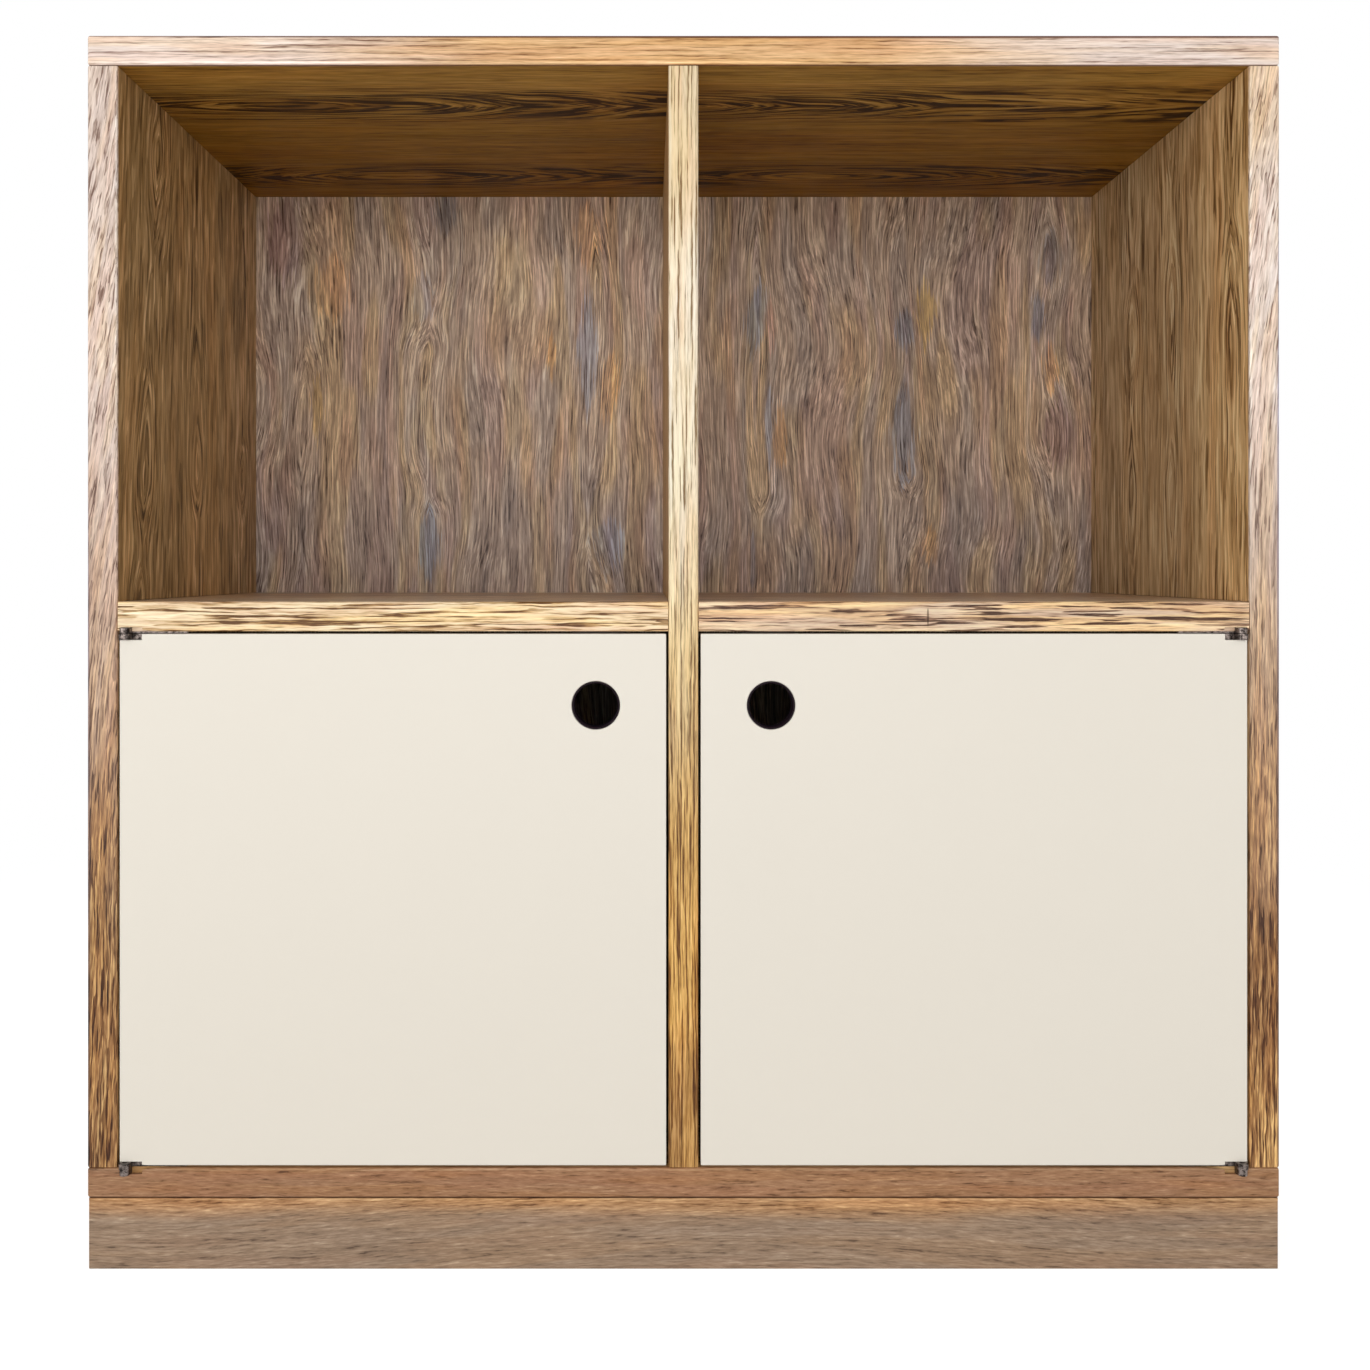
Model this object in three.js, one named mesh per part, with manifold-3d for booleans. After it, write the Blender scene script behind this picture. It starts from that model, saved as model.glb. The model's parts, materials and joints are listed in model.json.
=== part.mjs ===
// Two-bay credenza: two open bays above, two bays behind pivot-hung doors below, all on a plinth.
// Millimetres, +Z up, the front faces -Y and +X is on the right seen from the front.
import * as THREE from "three";
import { mergeVertices } from "three/addons/utils/BufferGeometryUtils.js";
import Module from "manifold-3d";

const wasm = await Module();
wasm.setup();

// Carcass
const width = 1000;
const depth = 420;
const boardThickness = 25;
const upperBayHeight = 450;
const lowerBayHeight = 450;
const lippingDepth = 3;
const arris = 2;
const glueLine = 0.2;

// Back panels, let into rebates from behind
const backThickness = 10;
const backInset = 10;
const rebateWidth = 8;
const rebateFit = 0.3;

// Housings that hold the shelves
const housingDepth = 5;
const housingStop = 15;
const housingFit = 0.2;

// Plinth
const plinthHeight = 60;
const plinthInset = 1;
const plinthThickness = 18;
const blockSize = 35;
const blockLift = 5;

// Dowels between the uprights and the top and bottom panels
const dowelRadius = 4;
const dowelFit = 0.15;
const dowelInPanel = 14;
const dowelInUpright = 22;
const dowelEndDistance = 80;
const dowelHoleSpare = 1;

// Doors
const doorThickness = 18;
const doorGap = 2;
const doorEase = 1;

// Finger holes and their liners
const fingerHoleRadius = 20;
const fingerHoleFromEdge = 59;
const fingerHoleFromTop = 60;
const linerWall = 1.5;
const linerFit = 0.2;

// Offset knife hinges, one leaf let into the carcass and one into the door
const hingeFromSide = 7;
const hingeProud = 1;
const leafThickness = 5;
const leafGap = 0.3;
const leafWidth = 10;
const leafLength = 52;
const carcassEyeRadius = 4.25;
const doorEyeRadius = 5;
const mortiseFit = 0.2;
const pinRadius = 2;
const pinPressFit = 0.1;
const pinRunningFit = 0.3;
const pinShort = 0.5;
const leafScrewRadius = 1.6;
const leafScrewHeadRadius = 3.2;
const leafScrewFirst = 20;
const leafScrewSecond = 40;

// Magnetic catches under the shelves and their strike plates on the doors
const catchWidth = 46;
const catchDepth = 14;
const catchHeight = 16;
const catchFromEdge = 60;
const catchWall = 3;
const magnetFit = 0.2;
const strikeWidth = 36;
const strikeHeight = 11;
const strikeThickness = 1.5;
const strikeGap = 0.3;
const strikeEase = 2;

// One overrun serves every cut that has to leave its board.
const overrun = 2;

const arrisSteps = 3;
const dowelSides = 12;
const pinSides = 16;
const eyeSteps = 14;
const holeSides = 40;
const screwSides = 12;

// Heights and widths that follow from the driving sizes
const bayWidth = (width - 3 * boardThickness) / 2;
const bottomTop = plinthHeight + boardThickness;
const shelfUnder = bottomTop + lowerBayHeight;
const shelfTop = shelfUnder + boardThickness;
const topUnder = shelfTop + upperBayHeight;
const height = topUnder + boardThickness;
const bayInner = boardThickness / 2;
const bayOuter = bayInner + bayWidth;
const backFace = depth - backInset - backThickness;
const boardFront = lippingDepth + glueLine;
const eyeProud = hingeProud + Math.max(carcassEyeRadius, doorEyeRadius);

const finishes = {
  veneer: { color: 0x7a5a3c, roughness: 0.45, metalness: 0 },
  lipping: { color: 0xc9a27a, roughness: 0.4, metalness: 0 },
  backVeneer: { color: 0x75604f, roughness: 0.5, metalness: 0 },
  plinthWood: { color: 0x957558, roughness: 0.5, metalness: 0 },
  beech: { color: 0xcfa878, roughness: 0.7, metalness: 0 },
  creamLacquer: { color: 0xe8e1d4, roughness: 0.4, metalness: 0 },
  blackPlastic: { color: 0x120c10, roughness: 0.6, metalness: 0 },
  agedSteel: { color: 0x5a504c, roughness: 0.4, metalness: 1 },
  brownPlastic: { color: 0x3a2a20, roughness: 0.5, metalness: 0 },
  magnet: { color: 0x6c6c70, roughness: 0.35, metalness: 1 },
  zincPlate: { color: 0x9a9a9c, roughness: 0.35, metalness: 1 },
};

// A closed three.js geometry as a solid for cutting and joining.
function solidOf(geometry) {
  const bare = geometry.clone();
  bare.deleteAttribute("normal");
  bare.deleteAttribute("uv");
  const merged = mergeVertices(bare);
  const mesh = new wasm.Mesh({
    numProp: 3,
    vertProperties: merged.getAttribute("position").array,
    triVerts: new Uint32Array(merged.index.array),
  });
  return new wasm.Manifold(mesh);
}

function geometryOf(solid) {
  const mesh = solid.getMesh();
  const geometry = new THREE.BufferGeometry();
  geometry.setAttribute("position", new THREE.BufferAttribute(mesh.vertProperties, 3));
  geometry.setIndex(new THREE.BufferAttribute(mesh.triVerts, 1));
  geometry.computeVertexNormals();
  return geometry;
}

// A box between two corners, each an [x, y, z] list.
function box(low, high) {
  const size = high.map((value, i) => value - low[i]);
  const geometry = new THREE.BoxGeometry(...size);
  geometry.translate(...high.map((value, i) => (value + low[i]) / 2));
  return solidOf(geometry);
}

// An outline in the first two coordinates, extruded from one level to another along the third.
function extrude(shape, from, to, steps = arrisSteps) {
  const geometry = new THREE.ExtrudeGeometry(shape, {
    depth: to - from,
    bevelEnabled: false,
    curveSegments: steps,
  });
  geometry.translate(0, 0, from);
  return geometry;
}

const alongX = new THREE.Vector3(1, 0, 0);
const alongY = new THREE.Vector3(0, 1, 0);
const alongZ = new THREE.Vector3(0, 0, 1);
// Turns a shape drawn in (x, y) and extruded along z into one drawn in (x, z) along y.
const drawnOnFront = new THREE.Matrix4().makeBasis(alongX, alongZ, alongY);
// Turns a shape drawn in (x, y) and extruded along z into one drawn in (y, z) along x.
const drawnOnSide = new THREE.Matrix4().makeBasis(alongY, alongZ, alongX);

// A mirroring matrix turns every face round, so each triangle's order is reversed again.
function placed(geometry, matrix) {
  const moved = geometry.index ? geometry.toNonIndexed() : geometry.clone();
  moved.applyMatrix4(matrix);
  if (matrix.determinant() < 0) {
    const points = moved.getAttribute("position");
    const first = new THREE.Vector3();
    const last = new THREE.Vector3();
    for (let i = 0; i < points.count; i += 3) {
      first.fromBufferAttribute(points, i);
      last.fromBufferAttribute(points, i + 2);
      points.setXYZ(i, last.x, last.y, last.z);
      points.setXYZ(i + 2, first.x, first.y, first.z);
    }
  }
  return moved;
}

// Adds a quarter of a circle to an outline, unless its radius is zero.
function quarterTurn(shape, x, y, radius, start) {
  if (radius) shape.absarc(x, y, radius, start, start + Math.PI / 2, false);
}

// A rectangle whose corners are rounded by the given radii: low-left, low-right, high-right, high-left.
function easedRectangle(low, high, radii) {
  const [lowLeft, lowRight, highRight, highLeft] = radii;
  const shape = new THREE.Shape();
  shape.moveTo(low[0] + lowLeft, low[1]);
  shape.lineTo(high[0] - lowRight, low[1]);
  quarterTurn(shape, high[0] - lowRight, low[1] + lowRight, lowRight, -Math.PI / 2);
  shape.lineTo(high[0], high[1] - highRight);
  quarterTurn(shape, high[0] - highRight, high[1] - highRight, highRight, 0);
  shape.lineTo(low[0] + highLeft, high[1]);
  quarterTurn(shape, low[0] + highLeft, high[1] - highLeft, highLeft, Math.PI / 2);
  shape.lineTo(low[0], low[1] + lowLeft);
  quarterTurn(shape, low[0] + lowLeft, low[1] + lowLeft, lowLeft, Math.PI);
  return shape;
}

// A block whose front view has rounded corners.
function frontEased(low, high, radii) {
  const shape = easedRectangle([low[0], low[2]], [high[0], high[2]], radii);
  return solidOf(placed(extrude(shape, low[1], high[1]), drawnOnFront));
}

// A block whose section, seen from the side, has rounded front corners.
function sectionEased(low, high, radius) {
  const shape = easedRectangle([low[1], low[2]], [high[1], high[2]], [radius, 0, 0, radius]);
  return solidOf(placed(extrude(shape, low[0], high[0]), drawnOnSide));
}

// A block whose plan, seen from above, has rounded front corners.
function planEased(low, high, radius) {
  const shape = easedRectangle([low[0], low[1]], [high[0], high[1]], [radius, radius, 0, 0]);
  return solidOf(extrude(shape, low[2], high[2]));
}

// A round bar along z, or along y when it lies.
function bar(radius, centre, from, to, sides, lies = false) {
  const geometry = new THREE.CylinderGeometry(radius, radius, to - from, sides);
  if (!lies) geometry.rotateX(Math.PI / 2);
  const middle = (from + to) / 2;
  geometry.translate(...(lies ? [centre[0], middle, centre[1]] : [...centre, middle]));
  return solidOf(geometry);
}

const pieces = [];

function keep(name, solid, finish) {
  pieces.push({ name, solid, finish });
}

const handed = [
  { side: "left", sign: -1 },
  { side: "right", sign: 1 },
];

// The low and high corners of a block given by its distances outward from the middle.
function handedCorners(sign, inner, outer, lowY, highY, lowZ, highZ) {
  const from = Math.min(sign * inner, sign * outer);
  const to = Math.max(sign * inner, sign * outer);
  return [
    [from, lowY, lowZ],
    [to, highY, highZ],
  ];
}

// Where the dowels stand: both sides and the divider, near the front and near the back.
const dowelPlaces = [
  { at: "left_side", x: -(bayOuter + boardThickness / 2) },
  { at: "divider", x: 0 },
  { at: "right_side", x: bayOuter + boardThickness / 2 },
].flatMap(({ at, x }) => [
  { at: at + "_front", upright: at, x, y: dowelEndDistance },
  { at: at + "_rear", upright: at, x, y: depth - dowelEndDistance },
]);

function dowelHole({ x, y }, from, to) {
  return bar(dowelRadius + dowelFit, [x, y], from, to, dowelSides);
}

function makeDowels() {
  for (const place of dowelPlaces) {
    const centre = [place.x, place.y];
    const low = bar(dowelRadius, centre, bottomTop - dowelInPanel, bottomTop + dowelInUpright, dowelSides);
    keep("dowel_bottom_" + place.at, low, "beech");
    const high = bar(dowelRadius, centre, topUnder - dowelInUpright, topUnder + dowelInPanel, dowelSides);
    keep("dowel_top_" + place.at, high, "beech");
  }
}

// The rebate for a back panel, cut from whatever board it crosses.
function rebate(sign) {
  const [low, high] = handedCorners(
    sign, bayInner - rebateWidth, bayOuter + rebateWidth,
    backFace, depth + overrun, bottomTop - rebateWidth, topUnder + rebateWidth,
  );
  return box(low, high);
}

// The outline of a hinge leaf in plan, its eye centred on the axis, growing by the fit of its mortise.
function leafOutline(eyeRadius, grow = 0) {
  const eye = eyeRadius + grow;
  const middle = hingeProud + doorThickness / 2;
  const half = leafWidth / 2 + grow;
  const end = leafLength - leafWidth / 2;
  const shape = new THREE.Shape();
  shape.moveTo(-eye, 0);
  shape.absarc(0, 0, eye, Math.PI, 2 * Math.PI, false);
  shape.lineTo(eye, middle - half);
  shape.lineTo(end, middle - half);
  shape.absarc(end, middle, half, -Math.PI / 2, Math.PI / 2, false);
  shape.lineTo(-eye, middle + half);
  return shape;
}

// Puts a leaf drawn at the origin on the hinge axis of the left or right door.
function onHinge(geometry, sign) {
  const toAxis = new THREE.Matrix4().makeTranslation(sign * (bayOuter - hingeFromSide), -hingeProud, 0);
  const facing = new THREE.Matrix4().makeScale(-sign, 1, 1);
  return solidOf(placed(geometry, toAxis.multiply(facing)));
}

function leafBlank(eyeRadius, sign, from, to, grow = 0) {
  return onHinge(extrude(leafOutline(eyeRadius, grow), from, to, eyeSteps), sign);
}

// A countersunk screw hole through a leaf, with its head on the side that the screw enters.
function leafScrewHole(along, from, to, headUp) {
  const middle = hingeProud + doorThickness / 2;
  const length = to - from + 2 * overrun;
  const shank = new THREE.CylinderGeometry(leafScrewRadius, leafScrewRadius, length, screwSides);
  shank.rotateX(Math.PI / 2);
  shank.translate(along, middle, (from + to) / 2);
  const sink = leafScrewHeadRadius - leafScrewRadius;
  const top = headUp ? leafScrewHeadRadius : leafScrewRadius;
  const bottom = headUp ? leafScrewRadius : leafScrewHeadRadius;
  const cone = new THREE.CylinderGeometry(top, bottom, sink, screwSides);
  cone.rotateX(Math.PI / 2);
  cone.translate(along, middle, headUp ? to - sink / 2 : from + sink / 2);
  return [shank, cone];
}

// The four hinges. At each one the upper leaf stands proud and the lower leaf lies flush.
const hinges = handed.flatMap(({ side, sign }) => {
  const upperJoin = shelfUnder - doorGap + leafGap;
  const lowerJoin = bottomTop + leafGap;
  return [
    {
      at: side + "_upper", sign,
      carcassFrom: upperJoin, carcassTo: upperJoin + leafThickness,
      doorFrom: upperJoin - leafGap - leafThickness, doorTo: upperJoin - leafGap,
      carcassAbove: true,
    },
    {
      at: side + "_lower", sign,
      carcassFrom: bottomTop - leafThickness, carcassTo: bottomTop,
      doorFrom: lowerJoin, doorTo: lowerJoin + leafThickness,
      carcassAbove: false,
    },
  ];
});

function makeHinges() {
  for (const hinge of hinges) {
    const { at, sign, carcassFrom, carcassTo, doorFrom, doorTo, carcassAbove } = hinge;
    const axis = [sign * (bayOuter - hingeFromSide), -hingeProud];
    let carcassLeaf = leafBlank(carcassEyeRadius, sign, carcassFrom, carcassTo);
    let doorLeaf = leafBlank(doorEyeRadius, sign, doorFrom, doorTo);
    for (const along of [leafScrewFirst, leafScrewSecond]) {
      for (const cut of leafScrewHole(along, carcassFrom, carcassTo, !carcassAbove))
        carcassLeaf = carcassLeaf.subtract(onHinge(cut, sign));
      for (const cut of leafScrewHole(along, doorFrom, doorTo, carcassAbove))
        doorLeaf = doorLeaf.subtract(onHinge(cut, sign));
    }
    const pinLow = Math.min(carcassFrom, doorFrom);
    const pinHigh = Math.max(carcassTo, doorTo);
    const through = [pinLow - overrun, pinHigh + overrun, pinSides];
    carcassLeaf = carcassLeaf.subtract(bar(pinRadius + pinPressFit, axis, ...through));
    doorLeaf = doorLeaf.subtract(bar(pinRadius + pinRunningFit, axis, ...through));
    keep("hinge_" + at + "_carcass_leaf", carcassLeaf, "agedSteel");
    keep("hinge_" + at + "_door_leaf", doorLeaf, "agedSteel");
    const pin = bar(pinRadius, axis, pinLow + pinShort, pinHigh - pinShort, pinSides);
    keep("hinge_" + at + "_pin", pin, "agedSteel");
  }
}

// Cuts the mortises of the carcass leaves out of a board or its lipping.
function cutCarcassMortises(solid, above, sign) {
  let result = solid;
  for (const hinge of hinges) {
    if (hinge.carcassAbove !== above) continue;
    if (sign && hinge.sign !== sign) continue;
    const from = above ? hinge.carcassFrom - overrun : hinge.carcassFrom - mortiseFit;
    const to = above ? hinge.carcassTo + mortiseFit : hinge.carcassTo + overrun;
    result = result.subtract(leafBlank(carcassEyeRadius, hinge.sign, from, to, mortiseFit));
  }
  return result;
}

function makeTopAndBottom() {
  const holeDepth = dowelInPanel + dowelHoleSpare;
  const slabs = [
    {
      name: "top", low: topUnder, high: height,
      from: topUnder - overrun, to: topUnder + holeDepth,
    },
    {
      name: "bottom", low: plinthHeight, high: bottomTop,
      from: bottomTop - holeDepth, to: bottomTop + overrun,
    },
  ];
  for (const { name, low, high, from, to } of slabs) {
    const corners = [arris, arris, arris, arris];
    let panel = frontEased([-width / 2, boardFront, low], [width / 2, depth, high], corners);
    for (const { sign } of handed) panel = panel.subtract(rebate(sign));
    for (const place of dowelPlaces) panel = panel.subtract(dowelHole(place, from, to));
    const strip = frontEased([-width / 2, 0, low], [width / 2, lippingDepth, high], corners);
    const reach = width / 2 + overrun;
    let lipping = strip.intersect(sectionEased([-reach, 0, low], [reach, lippingDepth, high], arris));
    if (name === "bottom") {
      panel = cutCarcassMortises(panel, false);
      lipping = cutCarcassMortises(lipping, false);
    }
    keep(name + "_panel", panel, "veneer");
    keep(name + "_front_lipping", lipping, "lipping");
  }
}

// The stopped housing for a shelf, outward from the middle.
function shelfHousing(sign) {
  const [low, high] = handedCorners(
    sign, bayInner - housingDepth, bayOuter + housingDepth,
    housingStop, depth + overrun, shelfUnder - housingFit, shelfTop + housingFit,
  );
  return box(low, high);
}

function cutUpright(solid, name, signs) {
  let upright = solid;
  for (const sign of signs) upright = upright.subtract(rebate(sign)).subtract(shelfHousing(sign));
  for (const place of dowelPlaces.filter((one) => one.upright === name)) {
    const lowHole = dowelHole(place, bottomTop - overrun, bottomTop + dowelInUpright + dowelHoleSpare);
    const highHole = dowelHole(place, topUnder - dowelInUpright - dowelHoleSpare, topUnder + overrun);
    upright = upright.subtract(lowHole).subtract(highHole);
  }
  return upright;
}

function makeUprights() {
  const low = bottomTop + glueLine;
  const high = topUnder - glueLine;
  for (const { side, sign } of handed) {
    const outer = bayOuter + boardThickness;
    const [from, to] = handedCorners(sign, bayOuter, outer, boardFront, depth, low, high);
    const radii = sign < 0 ? [arris, 0, 0, arris] : [0, arris, arris, 0];
    keep(side + "_side", cutUpright(frontEased(from, to, radii), side + "_side", [sign]), "veneer");
    const [lipLow, lipHigh] = handedCorners(sign, bayOuter, outer, 0, lippingDepth, low, high);
    const lipping = frontEased(lipLow, lipHigh, radii).intersect(planEased(lipLow, lipHigh, arris));
    keep(side + "_side_front_lipping", lipping, "lipping");
  }
  const divider = box([-bayInner, boardFront, low], [bayInner, depth, high]);
  keep("centre_divider", cutUpright(divider, "divider", [-1, 1]), "veneer");
  const lipping = planEased([-bayInner, 0, low], [bayInner, lippingDepth, high], arris);
  keep("divider_front_lipping", lipping, "lipping");
}

function makeShelves() {
  for (const { side, sign } of handed) {
    const inner = bayInner + glueLine;
    const outer = bayOuter - glueLine;
    const rear = backFace - glueLine;
    const [low, high] = handedCorners(sign, inner, outer, boardFront, rear, shelfUnder, shelfTop);
    const tongueInner = bayInner - housingDepth + housingFit;
    const tongueOuter = bayOuter + housingDepth - housingFit;
    const [tongueLow, tongueHigh] = handedCorners(
      sign, tongueInner, tongueOuter, housingStop + housingFit, rear, shelfUnder, shelfTop,
    );
    const shelf = box(low, high).add(box(tongueLow, tongueHigh));
    keep(side + "_shelf", cutCarcassMortises(shelf, true, sign), "veneer");
    const lipping = sectionEased([low[0], 0, shelfUnder], [high[0], lippingDepth, shelfTop], arris);
    keep(side + "_shelf_front_lipping", cutCarcassMortises(lipping, true, sign), "lipping");
  }
}

function makeBacks() {
  for (const { side, sign } of handed) {
    const [low, high] = handedCorners(
      sign, bayInner - rebateWidth + rebateFit, bayOuter + rebateWidth - rebateFit,
      backFace + glueLine, backFace + backThickness,
      bottomTop - rebateWidth + rebateFit, topUnder + rebateWidth - rebateFit,
    );
    keep(side + "_back_panel", box(low, high), "backVeneer");
  }
}

function makePlinth() {
  const outer = width / 2 - plinthInset;
  const front = plinthInset;
  const rear = depth - plinthInset;
  const top = plinthHeight - glueLine;
  const railFront = front + plinthThickness;
  const railRear = rear - plinthThickness;
  keep("plinth_front_rail", box([-outer, front, 0], [outer, railFront, top]), "plinthWood");
  keep("plinth_rear_rail", box([-outer, railRear, 0], [outer, rear, top]), "plinthWood");
  const middle = plinthThickness / 2;
  const between = [railFront + glueLine, railRear - glueLine];
  keep("plinth_middle_rail", box([-middle, between[0], 0], [middle, between[1], top]), "plinthWood");
  for (const { side, sign } of handed) {
    const [low, high] = handedCorners(sign, outer - plinthThickness, outer, ...between, 0, top);
    keep("plinth_" + side + "_rail", box(low, high), "plinthWood");
    const blockOuter = outer - plinthThickness - glueLine;
    const ends = [
      { end: "front", from: between[0], to: between[0] + blockSize },
      { end: "rear", from: between[1] - blockSize, to: between[1] },
    ];
    for (const { end, from, to } of ends) {
      const [blockLow, blockHigh] = handedCorners(
        sign, blockOuter - blockSize, blockOuter, from, to, blockLift, top,
      );
      keep("plinth_block_" + side + "_" + end, box(blockLow, blockHigh), "beech");
    }
  }
}

// A door's finger hole lies at a distance from its free edge and from its top edge.
const fingerHoleX = bayInner + doorGap + fingerHoleFromEdge;
const fingerHoleZ = shelfUnder - doorGap - fingerHoleFromTop;

function makeDoors() {
  for (const { side, sign } of handed) {
    const [low, high] = handedCorners(
      sign, bayInner + doorGap, bayOuter - doorGap,
      0, doorThickness, bottomTop + doorGap, shelfUnder - doorGap,
    );
    let door = sectionEased(low, high, doorEase).intersect(planEased(low, high, doorEase));
    const hole = bar(
      fingerHoleRadius + linerFit, [sign * fingerHoleX, fingerHoleZ],
      -overrun, doorThickness + overrun, holeSides, true,
    );
    door = door.subtract(hole);
    for (const hinge of hinges.filter((one) => one.sign === sign)) {
      const from = hinge.carcassAbove ? hinge.doorFrom - mortiseFit : hinge.doorFrom - overrun;
      const to = hinge.carcassAbove ? hinge.doorTo + overrun : hinge.doorTo + mortiseFit;
      door = door.subtract(leafBlank(doorEyeRadius, sign, from, to, mortiseFit));
    }
    keep(side + "_door_panel", door, "creamLacquer");
  }
}

function makeLiners() {
  const inner = fingerHoleRadius - linerWall;
  const profile = [
    new THREE.Vector2(inner, 0),
    new THREE.Vector2(fingerHoleRadius, 0),
    new THREE.Vector2(fingerHoleRadius, doorThickness),
    new THREE.Vector2(inner, doorThickness),
    new THREE.Vector2(inner, 0),
  ];
  for (const { side, sign } of handed) {
    const liner = new THREE.LatheGeometry(profile, holeSides);
    liner.translate(sign * fingerHoleX, 0, fingerHoleZ);
    keep(side + "_finger_hole_liner", solidOf(liner), "blackPlastic");
  }
}

function makeCatches() {
  const strikeFrom = doorThickness + glueLine;
  const catchFront = strikeFrom + strikeThickness + strikeGap;
  const catchTop = shelfUnder - glueLine;
  const middleZ = catchTop - catchHeight / 2;
  const centre = bayInner + catchFromEdge;
  for (const { side, sign } of handed) {
    const [low, high] = handedCorners(
      sign, centre - catchWidth / 2, centre + catchWidth / 2,
      catchFront, catchFront + catchDepth, catchTop - catchHeight, catchTop,
    );
    const magnetHalf = catchWidth / 2 - 2 * catchWall;
    const magnetTall = catchHeight / 2 - catchWall;
    const magnetRear = catchFront + catchDepth - catchWall;
    const [pocketLow, pocketHigh] = handedCorners(
      sign, centre - magnetHalf, centre + magnetHalf,
      catchFront - overrun, magnetRear, middleZ - magnetTall, middleZ + magnetTall,
    );
    keep(side + "_catch_body", box(low, high).subtract(box(pocketLow, pocketHigh)), "brownPlastic");
    const [magnetLow, magnetHigh] = handedCorners(
      sign, centre - magnetHalf + magnetFit, centre + magnetHalf - magnetFit,
      catchFront, magnetRear - magnetFit,
      middleZ - magnetTall + magnetFit, middleZ + magnetTall - magnetFit,
    );
    keep(side + "_catch_magnet", box(magnetLow, magnetHigh), "magnet");
    const [plateLow, plateHigh] = handedCorners(
      sign, centre - strikeWidth / 2, centre + strikeWidth / 2,
      strikeFrom, strikeFrom + strikeThickness, middleZ - strikeHeight / 2, middleZ + strikeHeight / 2,
    );
    const round = [strikeEase, strikeEase, strikeEase, strikeEase];
    keep(side + "_strike_plate", frontEased(plateLow, plateHigh, round), "zincPlate");
  }
}

makeTopAndBottom();
makeUprights();
makeShelves();
makeBacks();
makePlinth();
makeDowels();
makeDoors();
makeLiners();
makeHinges();
makeCatches();

// The origin lies under the middle of the whole object, hinge eyes included.
const credenza = new THREE.Group();
credenza.name = "credenza";
credenza.position.y = -(depth - eyeProud) / 2;
for (const { name, solid, finish } of pieces) {
  const mesh = new THREE.Mesh(geometryOf(solid), new THREE.MeshStandardMaterial(finishes[finish]));
  mesh.name = name;
  credenza.add(mesh);
}

export default credenza;
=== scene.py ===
import json
import math

import bmesh
import bpy
from mathutils import Matrix, Vector


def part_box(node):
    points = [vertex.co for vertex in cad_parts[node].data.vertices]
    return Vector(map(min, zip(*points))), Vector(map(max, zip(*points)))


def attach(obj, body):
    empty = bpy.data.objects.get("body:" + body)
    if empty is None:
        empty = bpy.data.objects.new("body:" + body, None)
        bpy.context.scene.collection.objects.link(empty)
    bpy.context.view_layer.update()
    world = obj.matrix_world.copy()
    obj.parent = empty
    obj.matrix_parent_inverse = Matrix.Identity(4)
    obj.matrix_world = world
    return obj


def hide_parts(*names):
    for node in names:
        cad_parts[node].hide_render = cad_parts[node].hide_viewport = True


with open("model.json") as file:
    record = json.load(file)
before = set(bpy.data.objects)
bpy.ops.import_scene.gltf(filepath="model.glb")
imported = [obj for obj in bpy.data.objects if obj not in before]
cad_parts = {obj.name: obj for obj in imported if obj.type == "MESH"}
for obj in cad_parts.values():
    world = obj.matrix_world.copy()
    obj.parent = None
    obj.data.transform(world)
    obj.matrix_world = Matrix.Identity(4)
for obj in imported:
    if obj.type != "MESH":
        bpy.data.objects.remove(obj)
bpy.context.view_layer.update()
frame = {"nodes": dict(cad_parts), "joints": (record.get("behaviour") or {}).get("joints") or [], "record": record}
nodes = frame["nodes"]

# Two-bay credenza: streaky brown veneer, paler front lippings, cream lacquered doors on knife hinges.
# Metres, the front faces -Y, seen from the front +X is on the right.

millimetre = 0.001
tiny = 1e-5
sides = {"left": -1, "right": 1}
rails = ["front", "rear", "left", "right", "middle"]
turns = {  # angles between two faces
    "flat": math.radians(1),  # up to here they are joined into one
    "smooth": math.radians(40),  # up to here they are shaded as one
    "sharp": math.radians(50),  # above this the edge between them is eased
}
seedStep = (3.7, 5.3, 7.9)  # how far one step of a seed moves a noise
toneStops = (0.0, 0.2, 0.5, 0.8, 1.0)
midTone = toneStops[2]


# Shader maths: a socket that adds, subtracts, multiplies and divides like a number
class Wire:
    def __init__(self, shader, socket):
        self.shader = shader
        self.socket = socket

    def maths(self, operation, *others):
        return self.shader.node("ShaderNodeMath", {"operation": operation}, dict(enumerate((self, *others))))

    def __add__(self, other):
        return self.maths("ADD", other)

    def __sub__(self, other):
        return self.maths("SUBTRACT", other)

    def __rsub__(self, other):
        return self.shader.node("ShaderNodeMath", {"operation": "SUBTRACT"}, {0: other, 1: self})

    def __mul__(self, other):
        return self.maths("MULTIPLY", other)

    def __truediv__(self, other):
        return self.maths("DIVIDE", other)

    def __abs__(self):
        return self.maths("ABSOLUTE")

    __radd__ = __add__
    __rmul__ = __mul__

    def least(self, other):
        return self.maths("MINIMUM", other)

    def most(self, other):
        return self.maths("MAXIMUM", other)

    def part(self, name):  # another output of the same node
        return Wire(self.shader, self.socket.node.outputs[name])


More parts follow.
